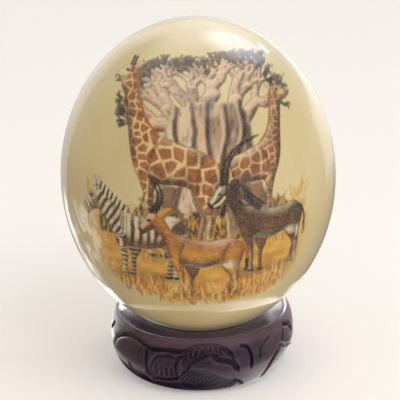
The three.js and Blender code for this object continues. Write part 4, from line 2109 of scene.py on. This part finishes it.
    def soft_box(
        self,
        name: str,
        aim: Point,
        distance: float,
        size: Point,
        power: float,
    ) -> bpy.types.Object:
        """Hangs a soft box that faces the egg and that gloss doesn't see.

        Args:
            name: Its name.
            aim: Its azimuth and elevation in degrees.
            distance: Metres from the egg's middle.
            size: Its width and height in metres.
            power: Its power in watts.

        Returns:
            The soft box.
        """
        light = bpy.data.lights.new(name, "AREA")
        light.shape = "RECTANGLE"
        light.size, light.size_y = size
        light.energy = power
        box = bpy.data.objects.new(name, light)
        target = Vector((0.0, 0.0, self.middle))
        box.matrix_world = self.facing(target + self.direction(*aim) * distance, target, 0.0)
        box.visible_glossy = False
        bpy.context.collection.objects.link(box)
        return box

    def linked_lights(self, egg: bpy.types.Object, ring: bpy.types.Object) -> None:
        """Adds the table's glow under the egg, and the windows that only the ring mirrors.

        Args:
            egg: The egg, which alone shades the glow.
            ring: The ring.
        """
        shades = bpy.data.collections.new("glow_shades")
        shades.objects.link(egg)
        glow = self.soft_box("table_glow", (50.0, -34.0), 0.9, (0.60, 0.30), 1.7)
        glow.light_linking.blocker_collection = shades
        mirrors = bpy.data.collections.new("window_mirrors")
        mirrors.objects.link(ring)
        for given in self.WINDOWS:
            window = self.soft_box(given.name, given.aim, self.window_distance, given.size, given.power)
            window.visible_glossy = True
            window.light_linking.receiver_collection = mirrors
            if not given.shaded:
                window.light_linking.blocker_collection = mirrors

    def near_floor(self) -> None:
        """Lets gloss see the lit floor close round the ring, brighter on the right and under it."""
        deselect()
        bpy.ops.mesh.primitive_circle_add(
            vertices=128, radius=self.mirror_radius, fill_type="NGON", location=(0, 0, self.mirror_height)
        )
        disc = bpy.context.object
        disc.name = "near_floor"
        material, sheet = new_material("near_floor")
        place = sheet.node("ShaderNodeTexCoord").outputs["Object"]
        x, y, _ = sheet.axes(place)
        sharp, soft = 0.00003, 0.0003
        outward = x * x + y * y
        under = (self.under_radius**2 - outward).rise(0.0, sharp)
        near = (self.lit_radius**2 - outward).rise(-soft, soft)
        light = x.rise(-0.02, 0.0) * 0.8 + x.rise(0.0, 0.03) * 0.3 + x.rise(0.020, 0.034) * 0.8
        light = light + (0.0 - x).rise(0.0, 0.02) * (0.053**2 - outward).rise(-soft, soft) * 0.9
        flanks = (x * x).rise(0.046**2, 0.050**2) * (0.075**2 - x * x).rise(0.0, 0.0006)
        lit = flanks * y.rise(0.012, 0.030) * (0.10 - y).rise(0.0, 0.04)
        sheen = lit * (2.4 - x.rise(-0.01, 0.01) * 1.4)
        clear = (1.0 - near) * (1.0 - (0.0 - x).rise(0.0, 0.01) * (0.02 - y).rise(0.0, 0.015))
        light = (1.0 - clear) * 0.17 + near * light + (1.0 - near) * sheen
        light = light * (1.0 - under) + under * x.rise(-0.005, 0.035) * 2.4
        light = light * (outward - self.hidden_radius**2).rise(0.0, sharp)
        from_below = Value(sheet, sheet.node("ShaderNodeNewGeometry").outputs["Backfacing"])
        light = light * (1.0 - from_below)
        lamp = sheet.node("ShaderNodeEmission", {}, {"Color": (1.0, 0.97, 0.92), "Strength": light})
        glass = sheet.node("ShaderNodeBsdfTransparent", {}, {"Color": clear.grey()})
        both = sheet.node("ShaderNodeAddShader", {}, {0: lamp.outputs[0], 1: glass.outputs[0]})
        sheet.node("ShaderNodeOutputMaterial", {}, {"Surface": both.outputs[0]})
        disc.data.materials.append(material)
        disc.visible_camera = False
        disc.visible_diffuse = False
        disc.visible_shadow = False

    def camera(self) -> None:
        """Sets up the camera."""
        lens = bpy.data.cameras.new("camera")
        lens.lens = self.lens
        lens.sensor_width = 36.0
        lens.clip_start = 0.01
        camera = bpy.data.objects.new("camera", lens)
        rise = math.radians(self.camera_elevation)
        middle = Vector((0.0, 0.0, self.middle))
        place = middle + self.direction(0.0, self.camera_elevation) * self.camera_distance
        target = middle + Vector((self.aim_right, 0.0, 0.0))
        target -= Vector((0.0, math.sin(rise), math.cos(rise))) * self.aim_drop
        camera.matrix_world = self.facing(place, target, self.roll)
        bpy.context.collection.objects.link(camera)
        bpy.context.scene.camera = camera


def main() -> None:
    """Builds the studio, the egg and its ring."""
    logging.basicConfig(level=logging.INFO, format="%(name)s: %(message)s")
    studio = Studio()
    studio.build()
    log.info("studio ready")
    pieces = []
    for maker in (PrintedEgg(), CarvedRing()):
        piece = maker.build()
        maker.dress(piece)
        pieces.append(piece)
        log.info("%s: %d faces", piece.name, len(piece.data.polygons))
    studio.linked_lights(*pieces)


if __name__ == "__main__":
    main()
